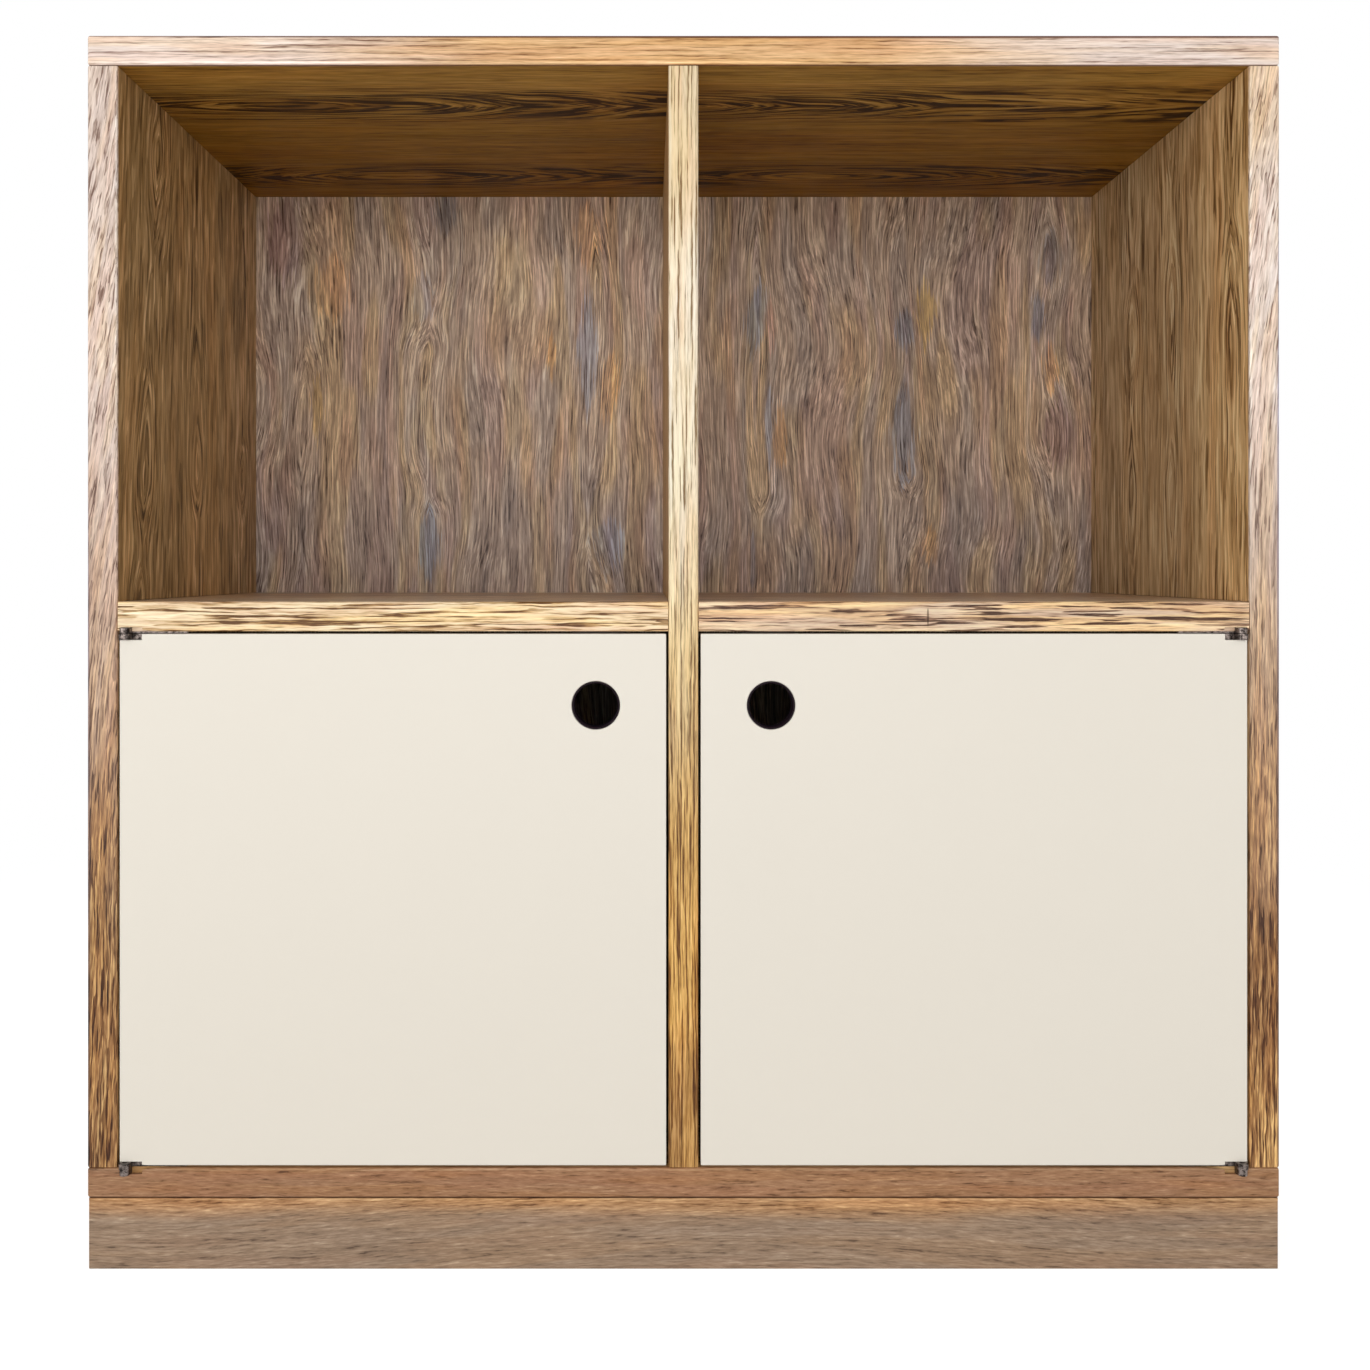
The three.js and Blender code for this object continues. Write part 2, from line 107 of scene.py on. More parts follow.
class Shader:
    def __init__(self, owner):  # a material or a world
        owner.use_nodes = True
        self.owner = owner
        self.tree = owner.node_tree
        self.tree.nodes.clear()

    def node(self, kind, settings=None, values=None, output=0):
        made = self.tree.nodes.new(kind)
        for key, value in (settings or {}).items():
            if key == "stops":
                self.setStops(made.color_ramp, value)
            elif key == "curve":
                made.color_ramp.interpolation = value
            else:
                setattr(made, key, value)
        for key, value in (values or {}).items():
            if isinstance(value, Wire):
                self.tree.links.new(value.socket, made.inputs[key])
            else:
                made.inputs[key].default_value = value
        return Wire(self, made.outputs[output])

    def setStops(self, ramp, stops):
        while len(ramp.elements) < len(stops):
            ramp.elements.new(1)
        for element, (place, colour) in zip(ramp.elements, stops):
            element.position = place
            element.color = colour

    def shown(self, kind, surface):  # the node that a material or a world ends in
        made = self.tree.nodes.new(kind)
        self.tree.links.new(surface.socket, made.inputs["Surface"])
        return self.owner

    def vector(self, x, y, z):
        return self.node("ShaderNodeCombineXYZ", None, {0: x, 1: y, 2: z})

    def axes(self, vector):
        return self.node("ShaderNodeSeparateXYZ", None, {0: vector})

    def vectorMaths(self, operation, values, output=0):
        return self.node("ShaderNodeVectorMath", {"operation": operation}, values, output)

    def rise(self, value, low, high):  # 0 below low, 1 above high, smooth between
        ends = {"Value": value, "From Min": low, "From Max": high}
        return self.node("ShaderNodeMapRange", {"interpolation_type": "SMOOTHSTEP"}, ends)

    def curve(self, value, points):  # a smooth curve through a few points, each a place and a height
        first, last = points[0][0], points[-1][0]
        tallest = max(height for place, height in points) or 1
        length = last - first
        stops = [((place - first) / length, (height / tallest,) * 3 + (1,)) for place, height in points]
        share = (value - first) / length
        return self.node("ShaderNodeValToRGB", {"curve": "EASE", "stops": stops}, {0: share}) * tallest

    def ramp(self, value, tones):  # a tone from 0, dark, to 1, light
        return self.node("ShaderNodeValToRGB", {"stops": tones}, {0: value})

    def noise(self, place, scale, seed, detail=2.0, roughness=0.5, output=0):
        shift = tuple(seed * step for step in seedStep)
        moved = self.node("ShaderNodeMapping", None, {"Vector": place, "Location": shift, "Scale": scale})
        values = {"Vector": moved, "Scale": 1, "Detail": detail, "Roughness": roughness}
        return self.node("ShaderNodeTexNoise", None, values, output)

    def ripple(self, place, scale, seed, **values):  # noise about zero
        return self.noise(place, scale, seed, **values) - 0.5

    def mix(self, share, first, second, blend="MIX"):
        settings = {"data_type": "RGBA", "blend_type": blend}
        return self.node("ShaderNodeMix", settings, {0: share, 6: first, 7: second}, 2)

    def tinge(self, share, colour, tint):
        return self.mix(share, colour, (*tint, 1), "MULTIPLY")

    def bump(self, height, strength, distance):
        values = {"Strength": strength, "Distance": distance, "Height": height}
        return self.node("ShaderNodeBump", None, values)

    def surface(self, **values):
        named = {key.replace("_", " "): value for key, value in values.items()}
        return self.shown("ShaderNodeOutputMaterial", self.node("ShaderNodeBsdfPrincipled", None, named))


def coated(mesh, material):
    mesh.materials.clear()
    mesh.materials.append(material)


def paint(red, green, blue):  # a colour given as it looks on screen, 0 to 255, by the usual screen curve
    def plain(value):
        share = value / 255
        return share / 12.92 if share <= 0.04045 else ((share + 0.055) / 1.055) ** 2.4
    return (plain(red), plain(green), plain(blue), 1)


def toned(*colours):  # ramp stops from five colours: darkest, dark, middle, light, lightest
    return list(zip(toneStops, (paint(*colour) for colour in colours)))


# Veneer and solid wood. The fibres run along one axis, and crown figure stands in columns across it.
# A column's heart says how far the middle of the log lies below the surface, as (place along the board,
# distance): the rings close to lenses where it is near, and stand in V tips where it changes.
def woodMaterial(name, look):
    s = Shader(bpy.data.materials.new(name))
    place = s.node("ShaderNodeTexCoord", output="Object")
    axes = s.axes(place)
    along, across, depth = (axes.part(axis) for axis in look["axes"])
    seed = look["seed"]
    loose = s.vector(across, depth, along)
    sway = s.ripple(loose, look["swayScale"], seed, detail=1)
    bent = across + sway * look["sway"]
    if "bow" in look:
        bent = bent - s.curve(along, look["bow"])
    drift = s.ripple(loose, look["heartScale"], seed + 1) * look["heartDrift"]
    nearest, figure = bent, s.rise(0.0, 1, 2)  # grain without figure, until a column adds it
    for count, column in enumerate(look["columns"]):
        off = bent - column["at"]
        if "lean" in column:
            off = off - along * column["lean"]
        within = 1 - s.rise(abs(off), *look["zone"])
        heart = s.curve(along, column.get("heart", look.get("heart"))) + drift - look["farHeart"]
        reach = abs(off) + heart * look["heartGain"] * within
        nearest = nearest.least(reach) if count else reach
        figure = figure.most(within)
    ring = nearest + s.ripple(loose, look["waveScale"], seed + 2, detail=1) * look["waves"]
    grain = s.vector(ring, depth + across * look["slant"], along)
    bands = s.ripple(grain, look["bandScale"], seed + 3)
    lines = s.ripple(grain, look["lineScale"], seed + 4)
    fibres = s.ripple(grain, look["fibreScale"], seed + 5, roughness=look["fibreRoughness"])
    lineWeight = look["lineWeight"] + figure * look["figureWeight"]
    tone = midTone + bands * look["bandWeight"] + lines * lineWeight + fibres * look["fibreWeight"]
    strength = look["plainStrokes"] + figure * (1 - look["plainStrokes"])
    for count, strokes in enumerate(look["strokes"]):  # crisp light or dark dashes along the grain
        pattern = s.noise(grain, strokes["scale"], seed + 7 + count, detail=1)
        tone = tone + s.rise(pattern, strokes["from"], strokes["to"]) * strength * strokes["weight"]
    colour = s.ramp(tone, look["tones"])
    if "farTones" in look:  # a second set of tones that the board changes to along one axis
        far = look["far"]
        spot = abs(axes.part(far["axis"])) if far.get("mirrored") else axes.part(far["axis"])
        share = s.rise(spot + sway * far["ragged"], far["low"], far["high"])
        colour = s.mix(share, colour, s.ramp(tone, look["farTones"]))
    patches = s.noise(grain, look["patchScale"], seed + 6, detail=1, output="Color")
    patches = s.node("ShaderNodeSeparateColor", None, {0: patches})
    for channel, tint in zip(("Red", "Green", "Blue"), look["patches"]):
        share = s.rise(patches.part(channel), *look["patchEdge"])
        colour = s.tinge(share * look["patchShare"], colour, tint)
    for mark in look["marks"]:  # single streaks and spots, their edges ragged along the grain
        out = (along - mark["along"]) / mark["halfLength"]
        off = abs(across - mark["across"] - out * mark["lean"]) / mark["halfWidth"]
        share = s.rise(1 - out * out - off + lines * mark["ragged"], *look["markEdge"])
        colour = s.tinge(share * mark["share"], colour, mark["tint"])
    for tint in look["tints"]:
        colour = s.tinge(s.rise(axes.part(tint["axis"]), tint["low"], tint["high"]), colour, tint["tint"])
    roughness = look["roughness"] - lines * look["lineSheen"]
    normal = s.bump(tone, look["bump"], look["relief"])
    return s.surface(Base_Color=colour, Roughness=roughness, Normal=normal,
                     Specular_IOR_Level=look["specular"])


# Three functions that the looks are written with. A tint multiplies the colour under it.
def dashes(across, along, start, full, weight):  # a noise's scales, and where a dash starts and is full
    return {"scale": (across, across, along), "from": start, "to": full, "weight": weight}


def tinted(axis, low, high, tint):  # a tint that comes in from low to high
    return {"axis": axis, "low": low, "high": high, "tint": tint}


def streak(across, along, halfWidth, halfLength, share, tint, lean=0, ragged=2.5):
    return {"across": across, "along": along, "halfWidth": halfWidth, "halfLength": halfLength,
            "share": share, "tint": tint, "lean": lean, "ragged": ragged}


wood = {  # shared by every board, which adds its axes, seed and tones
    "swayScale": (9, 9, 2.2),
    "sway": 0.012,
    "columns": [],
    "zone": (0.0, 0.05),
    "farHeart": 0.018,
    "heartGain": 3.0,
    "heartScale": (7, 7, 9),
    "heartDrift": 0.006,
    "waveScale": (60, 60, 25),
    "waves": 0.006,
    "slant": 0.35,  # how much of the place across goes into the grain's depth
    "bandScale": (30, 30, 2.0),
    "bandWeight": 0.7,
    "lineScale": (150, 150, 9),
    "lineWeight": 0.8,
    "figureWeight": 0.8,
    "fibreScale": (420, 420, 30),
    "fibreRoughness": 0.6,
    "fibreWeight": 0.9,
    "plainStrokes": 0.7,
    "strokes": [dashes(150, 10, 0.45, 0.38, -0.35)],
    "patchScale": (26, 26, 3.5),
    "patchShare": 0.35,
    "patchEdge": (0.48, 0.62),
    "patches": [(1.10, 0.97, 0.80), (0.84, 0.86, 0.90), (0.98, 0.88, 0.84)],
    "marks": [],
    "markEdge": (0, 0.5),
    "tints": [],
    "roughness": 0.42,
    "lineSheen": 0.3,
    "specular": 0.25,
    "bump": 0.2,
    "relief": 0.0003,
}
veneer = {
    **wood,
    "tones": toned((84, 58, 30), (138, 104, 62), (177, 139, 92), (214, 174, 122), (240, 202, 152)),
    "heart": [
        (-0.5, 0.018), (-0.22, 0.004), (0.05, 0.018), (0.30, 0.004),
        (0.62, 0.018), (0.86, 0.003), (1.04, 0.018)],
}
outerLeaf = (0.70, 0.67, 0.74)  # the leaf on an outer face is browner than the one inside
darkSpot = (0.30, 0.26, 0.22)
boardEnd = (0.92, 0.94, 1.45)
shelf = {"axes": "XYZ", "specular": 0.5, "roughness": 0.32}
boardLooks = {
    "top_panel": {
        "axes": "XYZ",
        "seed": 1.0,
        "columns": [
            {"at": -0.107, "heart": [
                (-0.50, 0.004), (-0.36, 0.0), (-0.25, 0.004), (-0.13, 0.014), (-0.010, 0.021),
                (0.010, 0.000), (0.12, 0.008), (0.26, 0.017), (0.50, 0.022)]},
            {"at": 0.112, "heart": [
                (-0.50, 0.020), (-0.30, 0.008), (-0.010, 0.021),
                (0.010, 0.012), (0.14, 0.006), (0.50, 0.022)]},
        ],
        "specular": 0.12,
        "sway": 0.010,
        "heartGain": 6.0,
        "heartDrift": 0.0008,
        "zone": (0.006, 0.062),
        "waves": 0.003,
        "bandWeight": 0.4,
        "lineScale": (150, 150, 8),
        "lineWeight": 0.35,
        "figureWeight": 1.3,
        "plainStrokes": 0.15,
        "strokes": [dashes(155, 9, 0.49, 0.46, -0.60), dashes(260, 7, 0.46, 0.43, -0.35)],
        "marks": [streak(-0.107, -0.335, 0.008, 0.075, 0.85, (0.35, 0.28, 0.2))],
        "tones": toned((56, 32, 8), (134, 96, 40), (184, 140, 64), (208, 164, 86), (226, 180, 106)),
        "tints": [
            # Darker and browner towards the rear: painted shade under the top
            tinted("Y", -0.16, -0.02, (0.73, 0.67, 0.38)),
            tinted("Y", -0.02, 0.18, (0.93, 0.88, 0.54)),
            tinted("Z", 1.018, 1.026, (0.82, 0.84, 1.15)),
            tinted("X", -0.4984, -0.4996, boardEnd),
            tinted("X", 0.4984, 0.4996, boardEnd),
        ],
    },
    "bottom_panel": {
        "axes": "XYZ",
        "seed": 2.0,
        "columns": [{"at": -0.10}, {"at": 0.05}, {"at": 0.16}],
        "tints": [tinted("Z", 0.076, 0.068, outerLeaf)],
    },
    "left_side": {
        "axes": "ZYX",
        "seed": 3.0,
        "columns": [
            {"at": -0.214, "lean": 0.105, "heart": [
                (0.0, 0.012), (0.56, 0.007), (0.60, 0.014), (0.67, 0.003),
                (0.80, 0.015), (0.86, 0.016), (0.97, 0.003), (1.01, 0.008)]},
            {"at": -0.007, "heart": [
                (0.0, 0.004), (0.3, 0.014), (0.56, 0.014), (0.63, 0.012),
                (0.68, 0.003), (0.75, 0.010), (0.85, 0.016), (1.01, 0.016)]},
            {"at": 0.140, "heart": [
                (0.0, 0.016), (0.3, 0.004), (0.56, 0.016), (0.63, 0.014),
                (0.685, 0.003), (0.74, 0.012), (1.01, 0.018)]},
        ],
        "waves": 0.008,
        "bandWeight": 0.35,
        "lineScale": (170, 170, 14),
        "strokes": [dashes(150, 14, 0.46, 0.44, -0.32), dashes(190, 16, 0.55, 0.57, 0.24)],
        "marks": [
            streak(0.062, 0.623, 0.0024, 0.015, 0.9, darkSpot),
            streak(0.072, 0.626, 0.0024, 0.012, 0.8, darkSpot),
        ],
        "tones": toned((72, 51, 26), (126, 97, 58), (168, 134, 86), (206, 170, 120), (236, 202, 152)),
        # The first tint, lighter and bluer towards the rear, is painted light
        "tints": [tinted("Y", 0.02, 0.14, (1.04, 1.08, 1.20)), tinted("X", -0.485, -0.492, outerLeaf)],
    },
    "right_side": {
        "axes": "ZYX",
        "seed": 4.0,
        "columns": [
            {"at": -0.172, "heart": [
                (0.0, 0.012), (0.56, 0.006), (0.70, 0.006), (0.78, 0.003),
                (0.84, 0.008), (0.90, 0.016), (1.01, 0.012)]},
            {"at": -0.040, "heart": [
                (0.0, 0.004), (0.3, 0.012), (0.56, 0.008), (0.66, 0.004),
                (0.74, 0.009), (0.84, 0.005), (0.92, 0.012), (1.01, 0.007)]},
            {"at": 0.066, "heart": [
                (0.0, 0.014), (0.4, 0.004), (0.56, 0.012), (0.66, 0.005),
                (0.75, 0.012), (0.82, 0.005), (0.90, 0.014), (1.01, 0.012)]},
            {"at": 0.184, "heart": [
                (0.0, 0.004), (0.4, 0.014), (0.56, 0.005), (0.70, 0.009), (0.80, 0.004), (1.01, 0.010)]},
        ],
        "sway": 0.010,
        "bandScale": (24, 24, 1.8),
        "bandWeight": 0.35,
        "waves": 0.008,
        "lineScale": (160, 160, 10),
        "strokes": [dashes(150, 11, 0.46, 0.44, -0.34), dashes(190, 14, 0.54, 0.56, 0.30)],
        # A lighter leaf than the left side's, made lighter still as painted light from the left
        "tones": toned((96, 62, 28), (160, 122, 72), (209, 169, 115), (242, 204, 148), (255, 230, 176)),
        "tints": [
            # Darker from the front edge inwards: painted shade; lighter and bluer at the rear: painted light
            tinted("Y", -0.17, -0.04, (0.68, 0.71, 0.78)),
            tinted("Y", 0.02, 0.14, (1.17, 1.22, 1.32)),
            tinted("X", 0.485, 0.492, outerLeaf),
        ],
    },
    "centre_divider": {"axes": "ZYX", "seed": 5.0, "columns": [{"at": -0.12}, {"at": 0.0}, {"at": 0.14}]},
    "left_shelf": {
        **shelf, "seed": 6.0, "columns": [{"at": -0.12}, {"at": 0.03}, {"at": 0.16}],
        "tones": toned((118, 96, 75), (176, 148, 120), (216, 187, 155), (246, 224, 192), (254, 240, 216)),
    },
    "right_shelf": {
        **shelf, "seed": 7.0, "columns": [{"at": -0.14}, {"at": 0.01}, {"at": 0.15}],
        "tones": toned((114, 92, 73), (173, 145, 118), (211, 182, 153), (243, 219, 188), (254, 237, 212)),
    },
}
for nodeName, own in boardLooks.items():
    coated(nodes[nodeName].data, woodMaterial("veneer_" + nodeName, {**veneer, **own}))
print("veneered boards finished")

orange = (1.26, 0.98, 0.62)
golden = (1.2, 1.08, 0.6)
slate = (0.62, 0.76, 1.05)
darkSlate = (0.45, 0.5, 0.62)
blueGrey = (0.76, 0.95, 1.35)
mauve = (0.6, 0.5, 0.62)
rosy = (1.3, 1.05, 1.0)
paleWood = (1.8, 1.9, 2.0)
back = {
    **wood,
    "axes": "ZXY",
    "tones": toned((84, 62, 50), (150, 126, 108), (187, 161, 140), (230, 204, 176), (255, 236, 210)),
    "swayScale": (8, 8, 4.5),
    "sway": 0.070,
    "heartGain": 1.1,
    "heartDrift": 0.007,
    "zone": (0.0, 0.045),
    "waveScale": (80, 80, 24),
    "waves": 0.0018,
    "bandScale": (40, 40, 3),
    "bandWeight": 0.6,
    "lineScale": (450, 450, 22),
    "lineWeight": 0.9,
    "figureWeight": 0.3,
    "fibreScale": (860, 860, 60),
    "plainStrokes": 0.9,
    "strokes": [dashes(500, 16, 0.53, 0.56, 0.30), dashes(560, 18, 0.46, 0.42, -0.28)],
    "patchScale": (34, 34, 6),
    "patchShare": 0.55,
    "patches": [(1.12, 1.02, 0.68), (0.80, 0.87, 1.0), (1.0, 0.88, 0.92)],
    "tints": [
        # Darker under the top and darker, bluer towards the bottom, the middle left lightest: painted shade
        tinted("Z", 0.90, 0.98, (0.93, 0.92, 0.90)),
        tinted("Z", 0.73, 0.62, (0.87, 0.91, 1.00)),
        tinted("Y", 0.196, 0.200, (0.62, 0.60, 0.60)),
    ],
    "bump": 0.3,
}
backFigure = {
    "left": {
        "seed": 9.0,
        "columns": [
            {"at": -0.425, "heart": [
                (0.0, 0.02), (0.56, 0.008), (0.63, 0.014), (0.77, 0.006), (0.86, 0.020), (1.02, 0.030)]},
            {"at": -0.277, "heart": [
                (0.0, 0.02), (0.56, 0.003), (0.64, 0.004), (0.675, 0.014), (0.72, 0.008),
                (0.83, 0.008), (0.87, 0.020), (0.93, 0.014), (0.99, 0.006), (1.02, 0.008)]},
            {"at": -0.093, "heart": [
                (0.0, 0.03), (0.56, 0.006), (0.64, 0.016), (0.76, 0.008), (0.90, 0.006), (1.02, 0.022)]},
        ],
        "marks": [
            streak(-0.278, 0.615, 0.0150, 0.052, 0.95, slate),
            streak(-0.259, 0.992, 0.0180, 0.030, 0.80, darkSlate),
            streak(-0.098, 0.832, 0.0130, 0.078, 0.90, blueGrey),
            streak(-0.097, 0.966, 0.0190, 0.045, 0.55, orange),
            streak(-0.139, 0.827, 0.0055, 0.034, 0.80, orange),
            streak(-0.073, 0.795, 0.0140, 0.050, 0.60, orange, lean=0.006),
            streak(-0.389, 0.905, 0.0260, 0.044, 0.45, orange),
            streak(-0.406, 0.771, 0.0080, 0.045, 0.70, golden),
            streak(-0.286, 0.896, 0.0150, 0.035, 0.50, blueGrey),
            streak(-0.440, 0.960, 0.0300, 0.060, 0.60, mauve),
            streak(-0.073, 0.610, 0.0220, 0.040, 0.70, slate),
        ],
    },
    "right": {
        "seed": 15.0,
        "tones": toned((80, 58, 46), (140, 118, 102), (177, 151, 130), (218, 192, 166), (248, 224, 198)),
        "columns": [
            {"at": 0.104, "heart": [
                (0.0, 0.02), (0.56, 0.018), (0.64, 0.020), (0.68, 0.008),
                (0.75, 0.003), (0.90, 0.005), (1.02, 0.022)]},
            {"at": 0.266, "heart": [
                (0.0, 0.02), (0.56, 0.022), (0.66, 0.016), (0.70, 0.005),
                (0.76, 0.003), (0.84, 0.010), (1.02, 0.024)]},
            {"at": 0.425, "heart": [
                (0.0, 0.02), (0.56, 0.020), (0.68, 0.012), (0.74, 0.003),
                (0.80, 0.008), (0.93, 0.004), (1.02, 0.018)]},
        ],
        "marks": [
            streak(0.094, 0.872, 0.0140, 0.052, 1.00, slate, lean=0.006),
            streak(0.110, 0.862, 0.0080, 0.038, 0.70, rosy),
            streak(0.108, 0.753, 0.0050, 0.062, 0.90, blueGrey),
            streak(0.121, 0.735, 0.0095, 0.044, 0.90, orange),
            streak(0.114, 0.690, 0.0035, 0.024, 0.90, paleWood),
            streak(0.286, 0.877, 0.0140, 0.042, 0.85, golden),
            streak(0.264, 0.860, 0.0140, 0.026, 0.80, slate),
            streak(0.262, 0.738, 0.0170, 0.070, 0.95, slate),
            streak(0.414, 0.874, 0.0110, 0.034, 0.95, slate),
            streak(0.429, 0.815, 0.0100, 0.034, 0.75, orange),
            streak(0.440, 0.741, 0.0200, 0.050, 0.70, mauve),
            streak(0.430, 0.940, 0.0150, 0.040, 0.75, darkSlate),
            streak(0.090, 0.596, 0.0050, 0.040, 0.75, blueGrey),
            streak(0.292, 0.613, 0.0110, 0.026, 0.60, orange),
        ],
    },
}
for side, own in backFigure.items():
    coated(nodes[side + "_back_panel"].data, woodMaterial(side + "_back_veneer", {**back, **own}))
print("back panels finished")

# Front lippings: pale at the top and darker towards the floor, which is painted light and painted shade along
# their height
lipping = {
    **wood,
    "seed": 21.0,  # the first one's, and each next one has one more
    "swayScale": (30, 30, 5),
    "sway": 0.004,
    "waveScale": (160, 160, 60),
    "waves": 0.0014,
    "bandScale": (120, 120, 6),
    "bandWeight": 0.35,
    "lineScale": (520, 520, 22),
    "lineWeight": 1.0,
    "fibreScale": (900, 900, 60),
    "plainStrokes": 1.0,
    "strokes": [dashes(560, 26, 0.46, 0.42, -0.34)],
    "patchScale": (90, 90, 7),
    "patchShare": 0.5,
    "patches": [(1.04, 0.96, 0.78), (0.88, 0.90, 0.96), (1.0, 0.90, 0.88)],
    "roughness": 0.4,
    "bump": 0.3,
}
# Lines along a strip's edges and joints: pale ones are painted highlights along lit arrises, dark ones painted
# shade in the joints and on arrises that turn from the light
# a painted highlight along a lit arris
cream = {"share": 0.5, "ragged": 0.3, "tint": (1.4, 1.6, 1.7)}
# painted shade in a joint
paintedJointShade = {"share": 0.8, "ragged": 0.3, "tint": (0.16, 0.08, 0.05)}
# painted shade along the top's upper arris, at full strength
paintedTopEdgeShade = {**paintedJointShade, "share": 1.0}
# painted shade on a side's outer rounded arris
paintedOuterArrisShade = {"share": 0.8, "ragged": 0.3, "tint": (0.4, 0.42, 0.7)}
# On the uprights' lippings the pale tones at the top, the dark far tones below and the tinted bands along the
# height are painted light and painted shade
upright = {
    "axes": "ZXY",
    "far": {"axis": "Z", "low": 0.82, "high": 0.22, "ragged": 0.3},
    "tones": toned((124, 96, 82), (188, 164, 148), (222, 201, 186), (244, 226, 212), (255, 246, 236)),
    "farTones": toned((44, 20, 8), (84, 48, 20), (158, 116, 74), (228, 186, 128), (250, 218, 160)),
    "waves": 0.0022,
    "tints": [tinted("Z", 0.62, 0.52, (0.98, 0.90, 0.80)), tinted("Z", 0.38, 0.30, (1.0, 1.08, 1.16))],
}
level = {"axes": "XZY"}
lippingLooks = {
    "top": {
        **level,
        "tones": toned((118, 76, 42), (188, 144, 94), (222, 178, 128), (244, 202, 152), (254, 228, 190)),
        # Towards both ends the top lipping turns pale: a painted highlight
        "farTones": toned((130, 100, 86), (204, 181, 165), (240, 220, 205), (254, 240, 228), (255, 252, 246)),
        "far": {"axis": "X", "low": 0.14, "high": 0.34, "mirrored": True, "ragged": 0.2},
        "bandScale": (120, 120, 3),
        "lineScale": (480, 480, 9),
        "strokes": [dashes(500, 10, 0.43, 0.40, -0.24)],
        # A painted highlight along the lower arris, painted shade along the upper arris and in the joint below
        "marks": [
            streak(1.0124, -0.2, 0.0010, 0.5, **cream),
            streak(1.0350, 0.22, 0.0034, 1.1, **paintedTopEdgeShade),
            streak(1.0100, 0.0, 0.0009, 0.9, **paintedJointShade),
        ],
    },
    "bottom": {
        **level,
        "tones": toned((98, 66, 43), (142, 103, 72), (159, 118, 86), (177, 137, 103), (205, 166, 129)),
        "strokes": [dashes(480, 44, 0.46, 0.40, -0.20)],
        "lineScale": (520, 520, 50),
        "fibreScale": (800, 800, 120),
        "fibreWeight": 1.2,
        # A painted highlight along the upper arris and painted shade in the joint with the plinth
        "marks": [streak(0.0838, 0.0, 0.0012, 0.9, **cream), streak(0.0601, 0.0, 0.0013, 1.4, **paintedJointShade)],
    },
    "left_side": {
        **upright,
        "bow": [(0.0, 0.0), (0.30, 0.010), (1.35, 0.16)],
        # A painted highlight along the inner edge, painted shade on the outer arris and in the joint under the top
        "marks": [
            streak(-0.4758, 0.92, 0.0009, 0.34, **cream),
            streak(-0.4992, 0.30, 0.0022, 0.42, **paintedOuterArrisShade),
            streak(-0.4875, 1.0099, 0.03, 0.0010, **paintedJointShade),
        ],
    },
    "right_side": {
        **upright,
        "bow": [(0.0, 0.0), (0.60, 0.0), (1.25, 0.08)],
        # Bands of painted light and painted shade along the height
        "tints": [
            tinted("Z", 0.90, 0.97, (0.99, 0.91, 0.76)),
            tinted("Z", 0.66, 0.74, (1.13, 1.18, 1.21)),
            tinted("Z", 0.62, 0.52, (1.06, 0.98, 0.82)),
            tinted("Z", 0.38, 0.30, (0.95, 0.98, 1.12)),
            tinted("Z", 0.22, 0.14, (1.34, 1.42, 1.34)),
        ],
        "strokes": [dashes(560, 26, 0.46, 0.42, -0.30)],
        # A painted highlight along the inner edge, painted shade on the outer arris and in the joint under the top
        "marks": [
            streak(0.4758, 0.74, 0.0008, 0.40, **cream),
            streak(0.4992, 0.40, 0.0022, 0.60, **paintedOuterArrisShade),
            streak(0.4875, 1.0099, 0.03, 0.0010, **paintedJointShade),
        ],
    },
    "divider": {
        **upright,
        # Pale at the top, darker below, with tinted bands: painted light and painted shade along the height
        "tones": toned((136, 108, 72), (208, 190, 160), (243, 229, 205), (254, 244, 224), (255, 252, 240)),
        "farTones": toned((92, 54, 22), (142, 98, 46), (204, 159, 97), (244, 203, 140), (255, 226, 170)),
        "waves": 0.0014,
        "lineScale": (520, 520, 14),
        "bandWeight": 0.2,
        "strokes": [dashes(580, 12, 0.46, 0.42, -0.38)],
        "tints": [
            tinted("Z", 0.84, 0.93, (0.91, 0.83, 0.68)),
            tinted("Z", 0.74, 0.66, (1.08, 1.14, 1.14)),
            tinted("Z", 0.60, 0.50, (0.92, 0.85, 0.68)),
            tinted("Z", 0.36, 0.28, (1.12, 1.14, 1.20)),
            tinted("Z", 0.22, 0.14, (0.68, 0.64, 0.68)),
        ],
    },
    "left_shelf": {
        **level,
        "tones": toned((98, 64, 31), (187, 149, 98), (244, 216, 175), (255, 243, 206), (255, 252, 230)),
        "lineScale": (440, 440, 18),
        "strokes": [dashes(430, 16, 0.45, 0.41, -0.42)],
        "patches": [(1.08, 0.98, 0.66), (0.86, 0.80, 0.84), (1.0, 0.88, 0.88)],
    },
    "right_shelf": {
        **level,
        "tones": toned((76, 50, 33), (162, 128, 98), (236, 204, 168), (255, 236, 193), (255, 248, 219)),
        "lineScale": (420, 420, 18),
        "strokes": [dashes(410, 16, 0.45, 0.41, -0.46)],
        "patchShare": 0.8,
        "patches": [(1.05, 0.95, 0.72), (0.76, 0.74, 0.82), (1.0, 0.9, 0.86)],
        "marks": [streak(0.547, 0.205, 0.010, 0.0012, 0.9, darkSpot, ragged=0.5)],
    },
}
for count, (place, own) in enumerate(lippingLooks.items()):
    material = woodMaterial("lipping_" + place, {**lipping, **own, "seed": lipping["seed"] + count})
    coated(nodes[place + "_front_lipping"].data, material)

